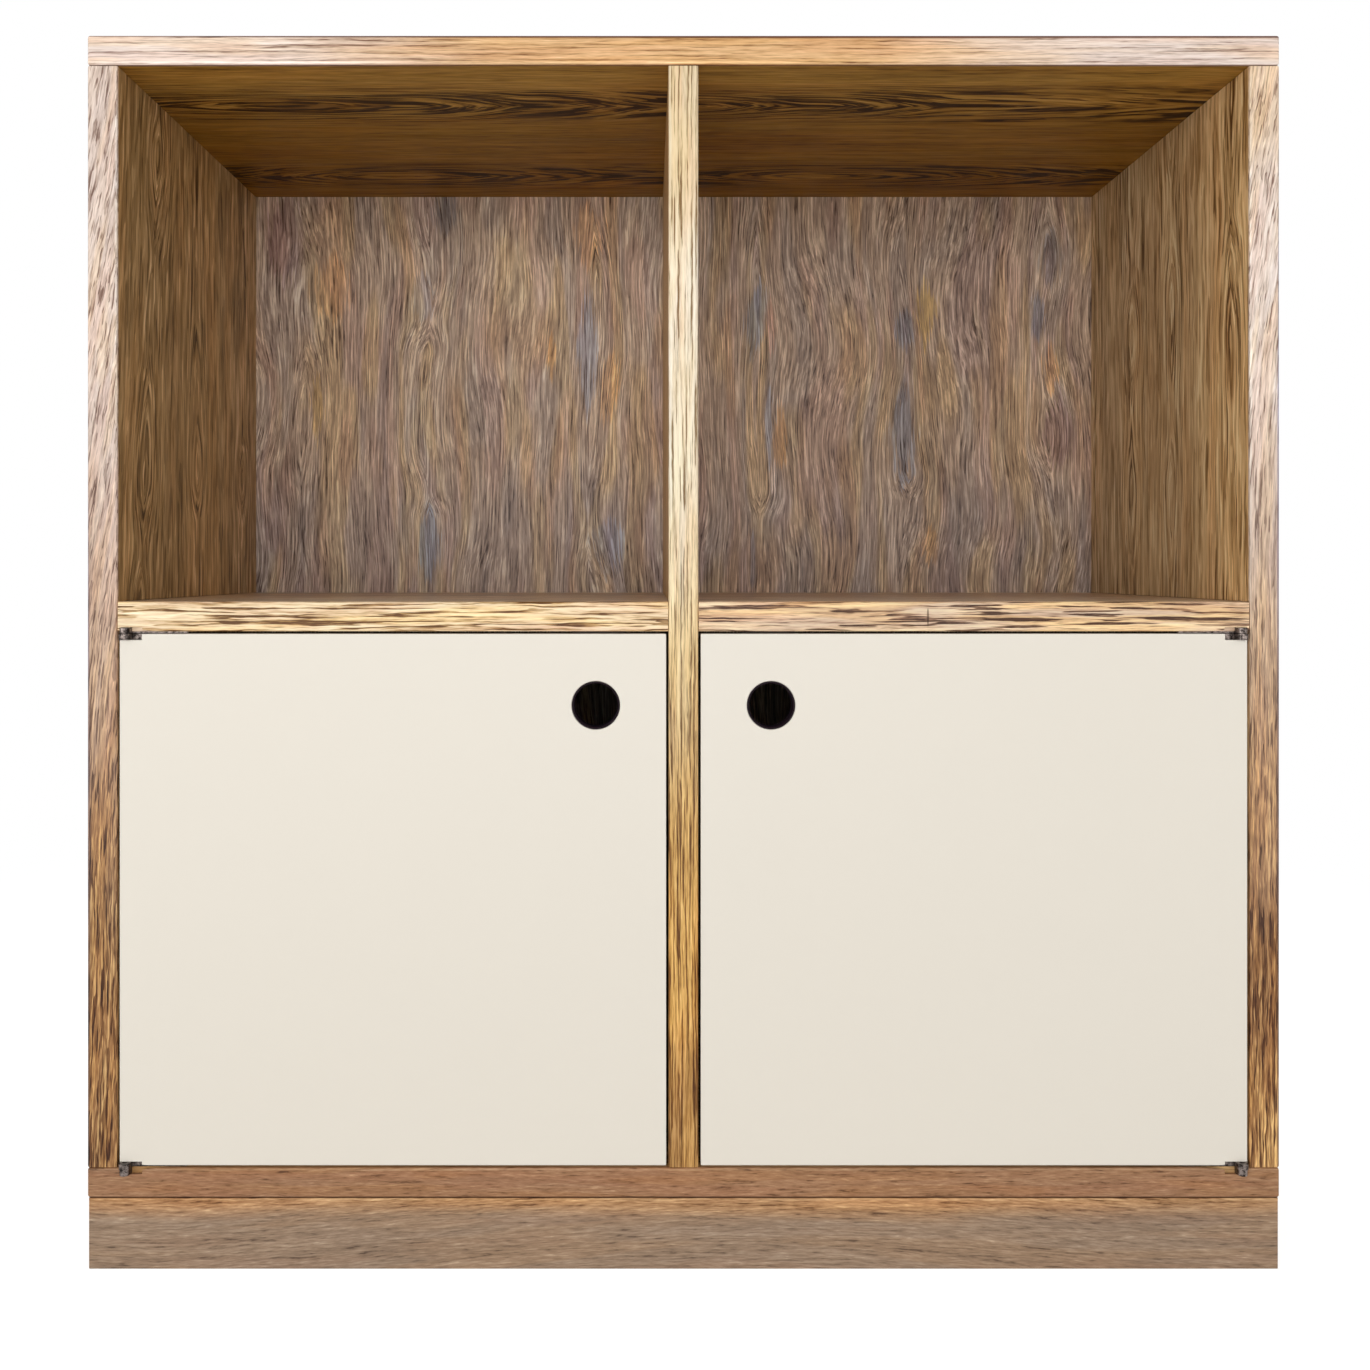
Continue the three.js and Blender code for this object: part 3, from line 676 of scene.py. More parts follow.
# Plinth: grey-brown low down and golden near its upper edge, its grain in one long shallow arch
plinth = {
    **wood,
    "seed": 31.0,  # the first rail's, and each next one has one more
    "swayScale": (10, 10, 3),
    "sway": 0.010,
    "waves": 0.002,
    "bandScale": (110, 110, 5),
    "lineScale": (480, 480, 40),
    "lineWeight": 1.0,
    "fibreScale": (760, 760, 100),
    "fibreWeight": 1.2,
    "plainStrokes": 1.0,
    "strokes": [dashes(540, 32, 0.46, 0.40, -0.20)],
    "patchScale": (60, 60, 5),
    "tones": toned((97, 77, 62), (136, 113, 92), (153, 128, 105), (170, 146, 123), (197, 174, 150)),
    "farTones": toned((100, 64, 35), (154, 112, 73), (184, 141, 99), (211, 168, 121), (238, 201, 151)),
    "far": {"axis": "Z", "low": 0.038, "high": 0.056, "ragged": 0.02},
    # A painted highlight along the upper arris and painted shade in the joint under the bottom lipping
    "marks": [streak(0.0582, 0.0, 0.0010, 0.9, **cream), streak(0.0599, 0.0, 0.0007, 1.4, **paintedJointShade)],
    "bow": [(-0.5, 0.0), (0.08, 0.030), (0.5, 0.008)],
}
for count, rail in enumerate(rails):
    own = {"axes": "XZY" if rail in ("front", "rear") else "YZX", "seed": plinth["seed"] + count}
    coated(nodes["plinth_" + rail + "_rail"].data, woodMaterial("plinth_" + rail, {**plinth, **own}))
print("lippings and plinth finished")


# Lacquer, metal and plastic: one colour with fine unevenness in tone, sheen and relief
def plainMaterial(name, look):
    s = Shader(bpy.data.materials.new(name))
    place = s.node("ShaderNodeTexCoord", output="Object")
    cloud = s.ripple(place, (look["cloud"],) * 3, look["cloudSeed"])
    speckle = s.ripple(place, (look["speckle"],) * 3, look["speckleSeed"])
    share = (midTone + cloud * look["cloudShare"] + speckle * look["speckleShare"]).most(0).least(1)
    shade = s.mix(share, look["dark"], look["light"])
    roughness = look["roughness"] + speckle * look["sheen"]
    normal = s.bump(speckle, look["bump"], look["relief"])
    return s.surface(Base_Color=shade, Roughness=roughness, Normal=normal, Metallic=look["metallic"],
                     Specular_IOR_Level=look["specular"])


plainLook = {  # shared by these materials, and changed one by one
    "cloudSeed": 3.0,
    "cloudShare": 1.0,
    "speckleSeed": 4.0,
    "speckleShare": 1.0,
    "sheen": 0.2,
    "bump": 0.2,
    "relief": 0.0001,
    "metallic": 0.0,
    "specular": 0.5,
}
plainLooks = {
    "creamLacquer": {  # sprayed satin, with a faint orange peel
        "dark": paint(228, 221, 208), "light": paint(229, 222, 209), "cloud": 6, "speckle": 420,
        "speckleShare": 0.4, "roughness": 0.42, "sheen": 0.04, "bump": 0.03, "relief": 0.0002,
    },
    "blackPlastic": {
        "dark": paint(20, 8, 16), "light": paint(34, 20, 28), "cloud": 60, "speckle": 900,
        "speckleShare": 0.6, "roughness": 0.6, "specular": 0.1,
    },
    "agedSteel": {
        "dark": paint(30, 24, 22), "light": paint(136, 124, 118), "cloud": 300, "speckle": 1400,
        "cloudShare": 3.4, "speckleShare": 1.4, "roughness": 0.32, "sheen": 0.4, "bump": 0.3, "metallic": 0.9,
    },
    "brownPlastic": {
        "dark": paint(46, 33, 25), "light": paint(70, 52, 40), "cloud": 80, "speckle": 1200,
        "speckleShare": 0.8, "roughness": 0.5,
    },
    "zincPlate": {
        "dark": paint(160, 162, 166), "light": paint(206, 206, 208), "cloud": 180, "speckle": 1600,
        "cloudShare": 2.0, "roughness": 0.3, "bump": 0.15, "metallic": 1.0,
    },
    "magnetSteel": {
        "dark": paint(92, 92, 96), "light": paint(132, 132, 136), "cloud": 220, "speckle": 1500,
        "cloudShare": 1.5, "roughness": 0.35, "bump": 0.15, "metallic": 1.0,
    },
}
creamLacquer, blackPlastic, agedSteel, brownPlastic, zincPlate, magnetSteel = (
    plainMaterial(name, {**plainLook, **own}) for name, own in plainLooks.items())
beech = woodMaterial("beech", {
    **wood, "axes": "ZYX", "seed": 41.0, "roughness": 0.55,
    "tones": toned((168, 126, 86), (196, 154, 110), (208, 168, 122), (220, 182, 138), (230, 196, 156)),
})


# Mesh tools
def linked(name, mesh):
    made = bpy.data.objects.new(name, mesh)
    bpy.context.scene.collection.objects.link(made)
    return made


def added(made, material, body, slot, *stoodFor):  # a finished piece, ready to ride on its body
    coated(made.data, material)
    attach(made, body)
    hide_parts(*stoodFor)
    return made


def settled(made):  # turns what the modifiers give into a plain mesh
    depsgraph = bpy.context.evaluated_depsgraph_get()
    plain = bpy.data.meshes.new_from_object(made.evaluated_get(depsgraph), depsgraph=depsgraph)
    made.modifiers.clear()
    made.data = plain
    plain.name = made.name
    return made


def eased(made, width, segments, byWeight=True):
    bevel = made.modifiers.new("ease", "BEVEL")
    bevel.width = width
    bevel.segments = segments
    bevel.limit_method = "WEIGHT" if byWeight else "ANGLE"
    bevel.angle_limit = turns["sharp"]
    bevel.use_clamp_overlap = True


def cutBy(made, cutter):
    cut = made.modifiers.new("cut", "BOOLEAN")
    cut.operation = "DIFFERENCE"
    cut.solver = "EXACT"
    cut.object = cutter


def evenNormals(made):
    made.data.shade_smooth()
    made.data.set_sharp_from_angle(angle=turns["smooth"])
    weighted = made.modifiers.new("normals", "WEIGHTED_NORMAL")
    weighted.keep_sharp = True
    return settled(made)


def removed(*helpers):
    for helper in helpers:
        bpy.data.objects.remove(helper)


def prism(name, outline, low, high, lay=Matrix.Identity(4)):  # an outline pulled up from low to high
    shape = bmesh.new()
    lower = [shape.verts.new((x, y, low)) for x, y in outline]
    upper = [shape.verts.new((x, y, high)) for x, y in outline]
    shape.faces.new(lower[::-1])
    shape.faces.new(upper)
    count = len(outline)
    for i in range(count):
        j = (i + 1) % count
        shape.faces.new((lower[i], lower[j], upper[j], upper[i]))
    shape.transform(lay)
    bmesh.ops.recalc_face_normals(shape, faces=shape.faces)
    mesh = bpy.data.meshes.new(name)
    shape.to_mesh(mesh)
    shape.free()
    return linked(name, mesh)


def circle(centre, radius, count):
    angles = [2 * math.pi * i / count for i in range(count)]
    return [(centre[0] + radius * math.cos(a), centre[1] + radius * math.sin(a)) for a in angles]


# Boards and small parts whose CAD shape is right get their sharp edges eased
def softened(nodeName, width, material, slot, body, squareFront=False, segments=2):
    shape = bmesh.new()
    shape.from_mesh(nodes[nodeName].data)
    bmesh.ops.remove_doubles(shape, verts=shape.verts, dist=tiny)
    bmesh.ops.dissolve_limit(shape, angle_limit=turns["flat"], verts=shape.verts, edges=shape.edges)
    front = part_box(nodeName)[0].y + tiny
    weight = shape.edges.layers.float.new("bevel_weight_edge")
    for edge in shape.edges:
        onFront = all(vert.co.y < front for vert in edge.verts)
        if edge.is_convex and edge.calc_face_angle(0) > turns["sharp"] and not (squareFront and onFront):
            edge[weight] = 1
    mesh = bpy.data.meshes.new(nodeName + ".eased")
    shape.to_mesh(mesh)
    shape.free()
    made = linked(nodeName + ".eased", mesh)
    eased(made, width, segments)
    settled(made)
    evenNormals(made)
    return added(made, material, body, slot, nodeName)


boardArris = 0.4 * millimetre
carcassWood = {
    "veneer": list(boardLooks),
    "back_veneer": [side + "_back_panel" for side in sides],
    "plinth_wood": ["plinth_" + rail + "_rail" for rail in rails],
}
for slot, members in carcassWood.items():
    for nodeName in members:  # a veneered board stays square at the front, under its lipping
        material = nodes[nodeName].data.materials[0]
        softened(nodeName, boardArris, material, slot, "carcass", squareFront=slot == "veneer")
print("boards eased")

# Dowels and corner blocks keep their CAD shape
for nodeName, node in nodes.items():
    if nodeName.startswith(("dowel", "plinth_block")):
        coated(node.data, beech)


# Geometry Nodes trees, built with the same node method as the materials
class Shape(Shader):
    def __init__(self, name, inputs):
        self.tree = bpy.data.node_groups.new(name, "GeometryNodeTree")
        self.tree.is_modifier = True
        self.tree.interface.new_socket("Geometry", in_out="OUTPUT", socket_type="NodeSocketGeometry")
        self.sockets = {}
        for label, kind in inputs.items():
            made = self.tree.interface.new_socket(label, in_out="INPUT", socket_type="NodeSocket" + kind)
            self.sockets[label] = made.identifier
        self.given = self.tree.nodes.new("NodeGroupInput")

    def input(self, label):
        return Wire(self, self.given.outputs[label])

    def end(self, geometry):
        whole = self.node("GeometryNodeRealizeInstances", None, {0: geometry})
        painted = self.node("GeometryNodeSetMaterial", None,
                            {"Geometry": whole, "Material": self.input("Material")})
        self.tree.links.new(painted.socket, self.tree.nodes.new("NodeGroupOutput").inputs[0])

    def on(self, made, values):  # adds this tree to an object and sets its inputs by their identifiers
        modifier = made.modifiers.new(self.tree.name, "NODES")
        modifier.node_group = self.tree
        for label, value in values.items():
            modifier[self.sockets[label]] = value
        return made


# Front lippings: a strip glued on each board's front edge, its arrises rounded and a little uneven by hand
lippingShape = {
    "arris": 2.0 * millimetre,
    "endShare": 0.3,  # of the arris, where a strip ends against another
    "segments": 4,
    "waver": 0.16 * millimetre,
    "waverScale": 38.0,
    "seed": 3.0,  # the first one's, and each next one has one more
    "step": 12 * millimetre,
}
parallel = 0.9  # the cosine above which an edge runs along an axis


def lippingTree():
    g = Shape("frontLipping", {
        "Low": "Vector", "High": "Vector", "Along": "Vector", "Cuts X": "Int", "Cuts Z": "Int",
        "Round Left": "Float", "Round Right": "Float", "End Share": "Float", "Waver": "Float",
        "Waver Scale": "Float", "Seed": "Float", "Material": "Material",
    })
    low, high = g.input("Low"), g.input("High")
    size = g.vectorMaths("SUBTRACT", {0: high, 1: low})
    both = g.vectorMaths("ADD", {0: high, 1: low})
    middle = g.vectorMaths("SCALE", {0: both, "Scale": 0.5})
    strip = g.node("GeometryNodeMeshCube", None, {
        "Size": size, "Vertices X": g.input("Cuts X"), "Vertices Y": 2, "Vertices Z": g.input("Cuts Z")})
    strip = g.node("GeometryNodeTransform", None, {"Geometry": strip, "Translation": middle})
    lowParts, highParts = g.axes(low), g.axes(high)
    ends = g.node("GeometryNodeInputMeshEdgeVertices", output="Position 1")
    run = g.vectorMaths("SUBTRACT", {0: ends.part("Position 2"), 1: ends})
    run = g.vectorMaths("NORMALIZE", {0: run})
    lengthwise = abs(g.vectorMaths("DOT_PRODUCT", {0: run, 1: g.input("Along")}, "Value"))
    deep = abs(g.axes(run).part("Y"))
    at = g.axes(g.node("GeometryNodeInputPosition"))
    onFront = (at.part("Y") - lowParts.part("Y")).maths("LESS_THAN", tiny)
    onLeft = (at.part("X") - lowParts.part("X")).maths("LESS_THAN", tiny) * g.input("Round Left")
    onRight = (highParts.part("X") - at.part("X")).maths("LESS_THAN", tiny) * g.input("Round Right")
    outer = onLeft.most(onRight)
    corner = g.node("GeometryNodeInputMeshEdgeAngle").maths("GREATER_THAN", turns["sharp"])
    frontEdge = onFront * lengthwise.maths("GREATER_THAN", parallel).most(outer).most(g.input("End Share"))
    sideEdge = deep.maths("GREATER_THAN", parallel) * outer
    weight = corner * frontEdge.most(sideEdge)
    strip = g.node("GeometryNodeStoreNamedAttribute", {"data_type": "FLOAT", "domain": "EDGE"},
                   {"Geometry": strip, "Name": "bevel_weight_edge", "Value": weight})
    place = g.vectorMaths("SCALE", {0: g.node("GeometryNodeInputPosition"), "Scale": g.input("Waver Scale")})
    rough = g.node("ShaderNodeTexNoise", {"noise_dimensions": "4D"},
                   {"Vector": place, "W": g.input("Seed"), "Scale": 1.0})
    inward = rough * g.input("Waver") * onFront
    strip = g.node("GeometryNodeSetPosition", None, {"Geometry": strip, "Offset": g.vector(0, inward, 0)})
    g.end(strip)
    return g


hinge = {
    "leafWidth": 10 * millimetre,
    "carcassEye": 4.25 * millimetre,
    "doorEye": 5.0 * millimetre,
    "eyeSteps": 20,
    "ease": 0.45 * millimetre,
    "screws": [20 * millimetre, 40 * millimetre],
    "mortiseFit": 0.2 * millimetre,
    "mortiseReach": 4 * millimetre,
}
joints = {joint["child"]: joint for joint in frame["joints"]}


def leafOutline(joint, node, eyeRadius, grow):  # a hinge leaf seen from above, its eye on the joint's axis
    axisX, axisY = joint["pos_m"][:2]
    low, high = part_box(node)
    inward = 1 if axisX < 0 else -1
    half = hinge["leafWidth"] / 2 + grow
    middle = high.y - hinge["leafWidth"] / 2
    eye = eyeRadius + grow
    tip = (high.x if inward > 0 else low.x) - inward * hinge["leafWidth"] / 2
    points = []
    for i in range(hinge["eyeSteps"] + 1):
        turn = math.pi + math.pi * i / hinge["eyeSteps"]
        points.append((axisX + inward * eye * math.cos(turn), axisY + eye * math.sin(turn)))
    for i in range(hinge["eyeSteps"] + 1):
        turn = -math.pi / 2 + math.pi * i / hinge["eyeSteps"]
        points.append((tip + inward * half * math.cos(turn), middle + half * math.sin(turn)))
    points.append((axisX - inward * eye, middle + half))
    return points


def mortises(kind, side, ends):  # cutters for the hinge leaves that are let into a piece
    cutters = []
    for end in ends:
        node = f"hinge_{side}_{end}_{kind}_leaf"
        low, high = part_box(node)
        fit, reach = hinge["mortiseFit"], hinge["mortiseReach"]
        outline = leafOutline(joints[side + "_door"], node, hinge[kind + "Eye"], fit)
        upwards = (kind == "carcass") == (end == "upper")
        bottom, top = (low.z - reach, high.z + fit) if upwards else (low.z - fit, high.z + reach)
        cutters.append(prism("cutter", outline, bottom, top))
    return cutters


lippings = lippingTree()
lippingPlaces = {  # which arrises are rounded, left and right, and which hinge leaves are let in
    "top": {"along": "X", "round": (1, 1)},
    "bottom": {"along": "X", "round": (1, 1), "mortises": [("left", "lower"), ("right", "lower")]},
    "left_side": {"along": "Z", "round": (1, 0)},
    "right_side": {"along": "Z", "round": (0, 1)},
    "divider": {"along": "Z", "round": (0, 0)},
    "left_shelf": {"along": "X", "round": (0, 0), "mortises": [("left", "upper")]},
    "right_shelf": {"along": "X", "round": (0, 0), "mortises": [("right", "upper")]},
}
for count, (place, own) in enumerate(lippingPlaces.items()):
    nodeName = place + "_front_lipping"
    low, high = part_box(nodeName)
    horizontal = own["along"] == "X"
    cuts = max(2, round(((high.x - low.x) if horizontal else (high.z - low.z)) / lippingShape["step"]))
    made = linked(place + "_lipping", bpy.data.meshes.new("strip"))
    lippings.on(made, {
        "Low": tuple(low), "High": tuple(high), "Along": (1.0, 0.0, 0.0) if horizontal else (0.0, 0.0, 1.0),
        "Cuts X": cuts if horizontal else 2, "Cuts Z": 2 if horizontal else cuts,
        "Round Left": float(own["round"][0]), "Round Right": float(own["round"][1]),
        "End Share": lippingShape["endShare"], "Waver": lippingShape["waver"],
        "Waver Scale": lippingShape["waverScale"], "Seed": lippingShape["seed"] + count,
        "Material": nodes[nodeName].data.materials[0],
    })
    eased(made, lippingShape["arris"], lippingShape["segments"])
    cutters = [cutter for side, end in own.get("mortises", []) for cutter in mortises("carcass", side, [end])]
    for cutter in cutters:
        cutBy(made, cutter)
    settled(made)
    removed(*cutters)
    evenNormals(made)
    added(made, nodes[nodeName].data.materials[0], "carcass", "lipping", nodeName)
print("lippings shaped")

# Doors: lacquered panels with eased edges, a finger hole and mortises for the hinge leaves
door = {
    "ease": 1.0 * millimetre,
    "segments": 4,
    "holeRadius": 20.2 * millimetre,
    "holeSides": 96,
    "cutPast": 5 * millimetre,
}
layBack = Matrix(((1, 0, 0, 0), (0, 0, 1, 0), (0, 1, 0, 0), (0, 0, 0, 1)))  # drawn in x and z, pulled along y
for side in sides:
    nodeName = side + "_door_panel"
    low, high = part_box(nodeName)
    outline = [(low.x, low.z), (high.x, low.z), (high.x, high.z), (low.x, high.z)]
    made = prism(side + "_door_lacquered", outline, low.y, high.y, layBack)
    linerLow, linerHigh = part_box(side + "_finger_hole_liner")
    centre = ((linerLow.x + linerHigh.x) / 2, (linerLow.z + linerHigh.z) / 2)
    rim = circle(centre, door["holeRadius"], door["holeSides"])
    hole = prism("cutter", rim, low.y - door["cutPast"], high.y + door["cutPast"], layBack)
    cutBy(made, hole)
    eased(made, door["ease"], door["segments"], byWeight=False)
    cutters = mortises("door", side, ["upper", "lower"])
    for cutter in cutters:
        cutBy(made, cutter)
    settled(made)
    removed(hole, *cutters)
    evenNormals(made)
    added(made, creamLacquer, side + "_door", "cream_lacquer", nodeName)
print("doors finished")


# Finger hole liners: a rounded section swept round the hole
liner = {
    "outer": 20.0 * millimetre,
    "wall": 1.5 * millimetre,
    "ease": 0.5 * millimetre,
    "easeSteps": 4,
    "around": 96,
}


def linerTree():
    g = Shape("fingerHoleLiner", {
        "Centre": "Vector", "Outer Radius": "Float", "Wall": "Float", "Depth": "Float", "Ease": "Float",
        "Ease Steps": "Int", "Around": "Int", "Material": "Material",
    })
    wall, outerRadius = g.input("Wall"), g.input("Outer Radius")
    around = g.node("GeometryNodeCurvePrimitiveCircle", {"mode": "RADIUS"},
                    {"Resolution": g.input("Around"), "Radius": outerRadius - wall * 0.5})
    section = g.node("GeometryNodeCurvePrimitiveQuadrilateral", {"mode": "RECTANGLE"},
                     {"Width": wall, "Height": g.input("Depth")})
    section = g.node("GeometryNodeFilletCurve", {"mode": "POLY"}, {
        "Curve": section, "Count": g.input("Ease Steps"), "Radius": g.input("Ease"), "Limit Radius": True})
    ring = g.node("GeometryNodeCurveToMesh", None, {"Curve": around, "Profile Curve": section})
    ring = g.node("GeometryNodeTransform", None,
                  {"Geometry": ring, "Rotation": (math.pi / 2, 0, 0), "Translation": g.input("Centre")})
    g.end(ring)
    return g


liners = linerTree()
for side in sides:
    nodeName = side + "_finger_hole_liner"
    low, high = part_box(nodeName)
    made = linked(side + "_hole_sleeve", bpy.data.meshes.new("sleeve"))
    liners.on(made, {
        "Centre": tuple((low + high) / 2), "Outer Radius": liner["outer"], "Wall": liner["wall"],
        "Depth": high.y - low.y, "Ease": liner["ease"], "Ease Steps": liner["easeSteps"],
        "Around": liner["around"], "Material": blackPlastic,
    })
    settled(made)
    evenNormals(made)
    added(made, blackPlastic, side + "_door", "black_plastic", nodeName)
print("finger hole liners finished")

# Hinges, catches and plates
bodyOf = {name: body for body, members in frame["record"]["behaviour"]["bodies"].items() for name in members}
smallParts = {
    "leaf": (agedSteel, "aged_steel", hinge["ease"]),
    "pin": (agedSteel, "aged_steel", 0.3 * millimetre),
    "catch_body": (brownPlastic, "brown_plastic", 0.8 * millimetre),
    "catch_magnet": (magnetSteel, "magnet", 0.3 * millimetre),
    "strike_plate": (zincPlate, "zinc_plate", 0.3 * millimetre),
}
smallPartSteps = 3
for nodeName in list(nodes):
    for ending, (material, slot, ease) in smallParts.items():
        if nodeName.endswith("_" + ending):
            softened(nodeName, ease, material, slot, bodyOf[nodeName], segments=smallPartSteps)
print("hinges and catches finished")

# Screws: one tree sets a screw on each point of a mesh, turned by chance about its own axis.
# Its rings, from the tip up, give their height as shares of the shank's length, of the head's depth and
# of the crown, and their radius as a share of the shank's or the head's.
screwRings = [
    {"shank": -1.0, "head": -1.0, "crown": 0.0, "of": "Shank Radius", "radius": 0.3},
    {"shank": -0.8, "head": -1.0, "crown": 0.0, "of": "Shank Radius", "radius": 1.0},
    {"shank": 0.0, "head": -1.0, "crown": 0.0, "of": "Shank Radius", "radius": 1.0},
    {"shank": 0.0, "head": -0.12, "crown": 0.0, "of": "Head Radius", "radius": 1.0},
    {"shank": 0.0, "head": 0.0, "crown": 0.0, "of": "Head Radius", "radius": 1.0},
    {"shank": 0.0, "head": 0.0, "crown": 0.7, "of": "Head Radius", "radius": 0.8},
    {"shank": 0.0, "head": 0.0, "crown": 1.0, "of": "Head Radius", "radius": 0.5},
]
screwSides = 16
crossRecess = {  # shares of the recess's size, and at the top what its arms grow by
    "points": 12,
    "firstTurn": math.radians(15),
    "wide": 0.12,
    "wideGrowth": 0.03,
    "long": 0.16,
    "longGrowth": 0.34,
    "armsFrom": 0.85,
    "depth": 0.5,
    "past": 1.3,  # of the crown
}


def screwTree():
    g = Shape("screws", {
        "Geometry": "Geometry", "Head Radius": "Float", "Head Depth": "Float", "Crown": "Float",
        "Shank Radius": "Float", "Shank Length": "Float", "Recess": "Float", "Sides": "Int",
        "Unit": "Float", "Seed": "Int", "Material": "Material",
    })
    rings = len(screwRings) - 1
    plain = g.node("GeometryNodeMeshCylinder", {"fill_type": "NGON"}, {
        "Vertices": g.input("Sides"), "Side Segments": rings, "Radius": 1.0, "Depth": float(rings)})
    at = g.axes(g.node("GeometryNodeInputPosition"))
    ring = at.part("Z") + rings / 2
    radius, height = None, None
    for count, own in enumerate(screwRings):  # each ring takes its own radius and height
        here = 1 - abs(ring - float(count)).maths("GREATER_THAN", 0.5)
        size = g.input(own["of"]) * own["radius"]
        lift = g.input("Shank Length") * own["shank"] + g.input("Head Depth") * own["head"]
        lift = lift + g.input("Crown") * own["crown"]
        radius = here * size if radius is None else radius + here * size
        height = here * lift if height is None else height + here * lift
    turned = g.node("GeometryNodeSetPosition", None, {
        "Geometry": plain, "Position": g.vector(at.part("X") * radius, at.part("Y") * radius, height)})
    recess, crown = g.input("Recess"), g.input("Crown")
    post = g.node("GeometryNodeMeshCylinder", {"fill_type": "NGON"}, {
        "Vertices": crossRecess["points"], "Side Segments": 1, "Radius": 1.0, "Depth": 1.0})
    post = g.node("GeometryNodeTransform", None,
                  {"Geometry": post, "Rotation": (0, 0, crossRecess["firstTurn"])})
    upper = at.part("Z").maths("GREATER_THAN", 0.0)
    wide = recess * (crossRecess["wide"] + upper * crossRecess["wideGrowth"])
    long = recess * (crossRecess["long"] + upper * crossRecess["longGrowth"])
    spread = []
    for axis in "XY":  # the points are pulled out to the corners of a cross
        reach = at.part(axis)
        onArm = abs(reach).maths("GREATER_THAN", crossRecess["armsFrom"])
        spread.append(reach.maths("SIGN") * (wide + (long - wide) * onArm))
    ends = crown * crossRecess["past"] * upper + (crown - recess * crossRecess["depth"]) * (1 - upper)
    post = g.node("GeometryNodeSetPosition", None, {"Geometry": post, "Position": g.vector(*spread, ends)})
    screw = g.node("GeometryNodeMeshBoolean", {"operation": "DIFFERENCE"}, {"Mesh 1": turned, "Mesh 2": post})
    unit = g.input("Unit")
    screw = g.node("GeometryNodeTransform", None, {"Geometry": screw, "Scale": g.vector(unit, unit, unit)})
    facing = g.node("GeometryNodeInputNamedAttribute", {"data_type": "FLOAT_VECTOR"}, {"Name": "facing"})
    stood = g.node("FunctionNodeAlignRotationToVector", {"axis": "Z"}, {"Vector": facing})
    chance = g.node("FunctionNodeRandomValue", {"data_type": "FLOAT"},
                    {2: 0.0, 3: math.pi, "Seed": g.input("Seed")}, 1)
    spin = g.node("FunctionNodeAxisAngleToRotation", None, {"Axis": (0, 0, 1), "Angle": chance})
    stood = g.node("FunctionNodeRotateRotation", {"rotation_space": "LOCAL"},
                   {"Rotation": stood, "Rotate By": spin})
    points = g.node("GeometryNodeInstanceOnPoints", None, {
        "Points": g.input("Geometry"), "Instance": screw, "Rotation": stood})
    g.end(points)
    return g


def screwSet(name, body, slot, material, places, own):  # places are (point, facing) pairs
    mesh = bpy.data.meshes.new(name)
    mesh.from_pydata([point for point, facing in places], [], [])
    attribute = mesh.attributes.new("facing", "FLOAT_VECTOR", "POINT")
    for i, (point, facing) in enumerate(places):
        attribute.data[i].vector = facing
    made = linked(name, mesh)
    screws.on(made, {"Material": material, "Sides": screwSides, "Unit": millimetre, **own})
    settled(made)
    evenNormals(made)
    return added(made, material, body, slot)


screws = screwTree()
leafScrew = {  # screw sizes are in millimetres
    "Head Radius": 2.9, "Head Depth": 1.5, "Crown": 0.08,
    "Shank Radius": 1.35, "Shank Length": 11.0, "Recess": 3.0, "Seed": 5,
}
leafScrewSink = 0.1 * millimetre
for side, sign in sides.items():
    joint = joints[side + "_door"]
    for kind, body in (("carcass", "carcass"), ("door", side + "_door")):
        places = []
        for end in ("upper", "lower"):
            low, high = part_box(f"hinge_{side}_{end}_{kind}_leaf")
            up = (kind == "door") == (end == "upper")
            face = high.z - leafScrewSink if up else low.z + leafScrewSink
            for distance in hinge["screws"]:
                x = joint["pos_m"][0] - sign * distance
                y = high.y - hinge["leafWidth"] / 2
                places.append(((x, y, face), (0, 0, 1 if up else -1)))
        screwSet(f"{side}_{kind}_hinge_screws", body, "aged_steel", agedSteel, places, leafScrew)

plateScrew = {
    "Head Radius": 2.6, "Head Depth": 1.2, "Crown": 0.5,
    "Shank Radius": 1.2, "Shank Length": 9.0, "Recess": 2.6, "Seed": 7,
}
strikeScrewInset = 6.0 * millimetre
for side in sides:
    low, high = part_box(side + "_strike_plate")
    middle = (low.z + high.z) / 2
    places = [((x, high.y, middle), (0, 1, 0)) for x in (low.x + strikeScrewInset, high.x - strikeScrewInset)]
    screwSet(side + "_strike_screws", side + "_door", "zinc_plate", zincPlate, places, plateScrew)

catchScrew = {
    "Head Radius": 2.2, "Head Depth": 1.1, "Crown": 0.4,
    "Shank Radius": 1.1, "Shank Length": 24.0, "Recess": 2.2, "Seed": 11,
}
catchScrewInset = 3.2 * millimetre
for side in sides:
    low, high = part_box(side + "_catch_body")
    middle = (low.y + high.y) / 2
    places = [((x, middle, low.z), (0, 0, -1)) for x in (low.x + catchScrewInset, high.x - catchScrewInset)]
    screwSet(side + "_catch_screws", "carcass", "zinc_plate", zincPlate, places, catchScrew)

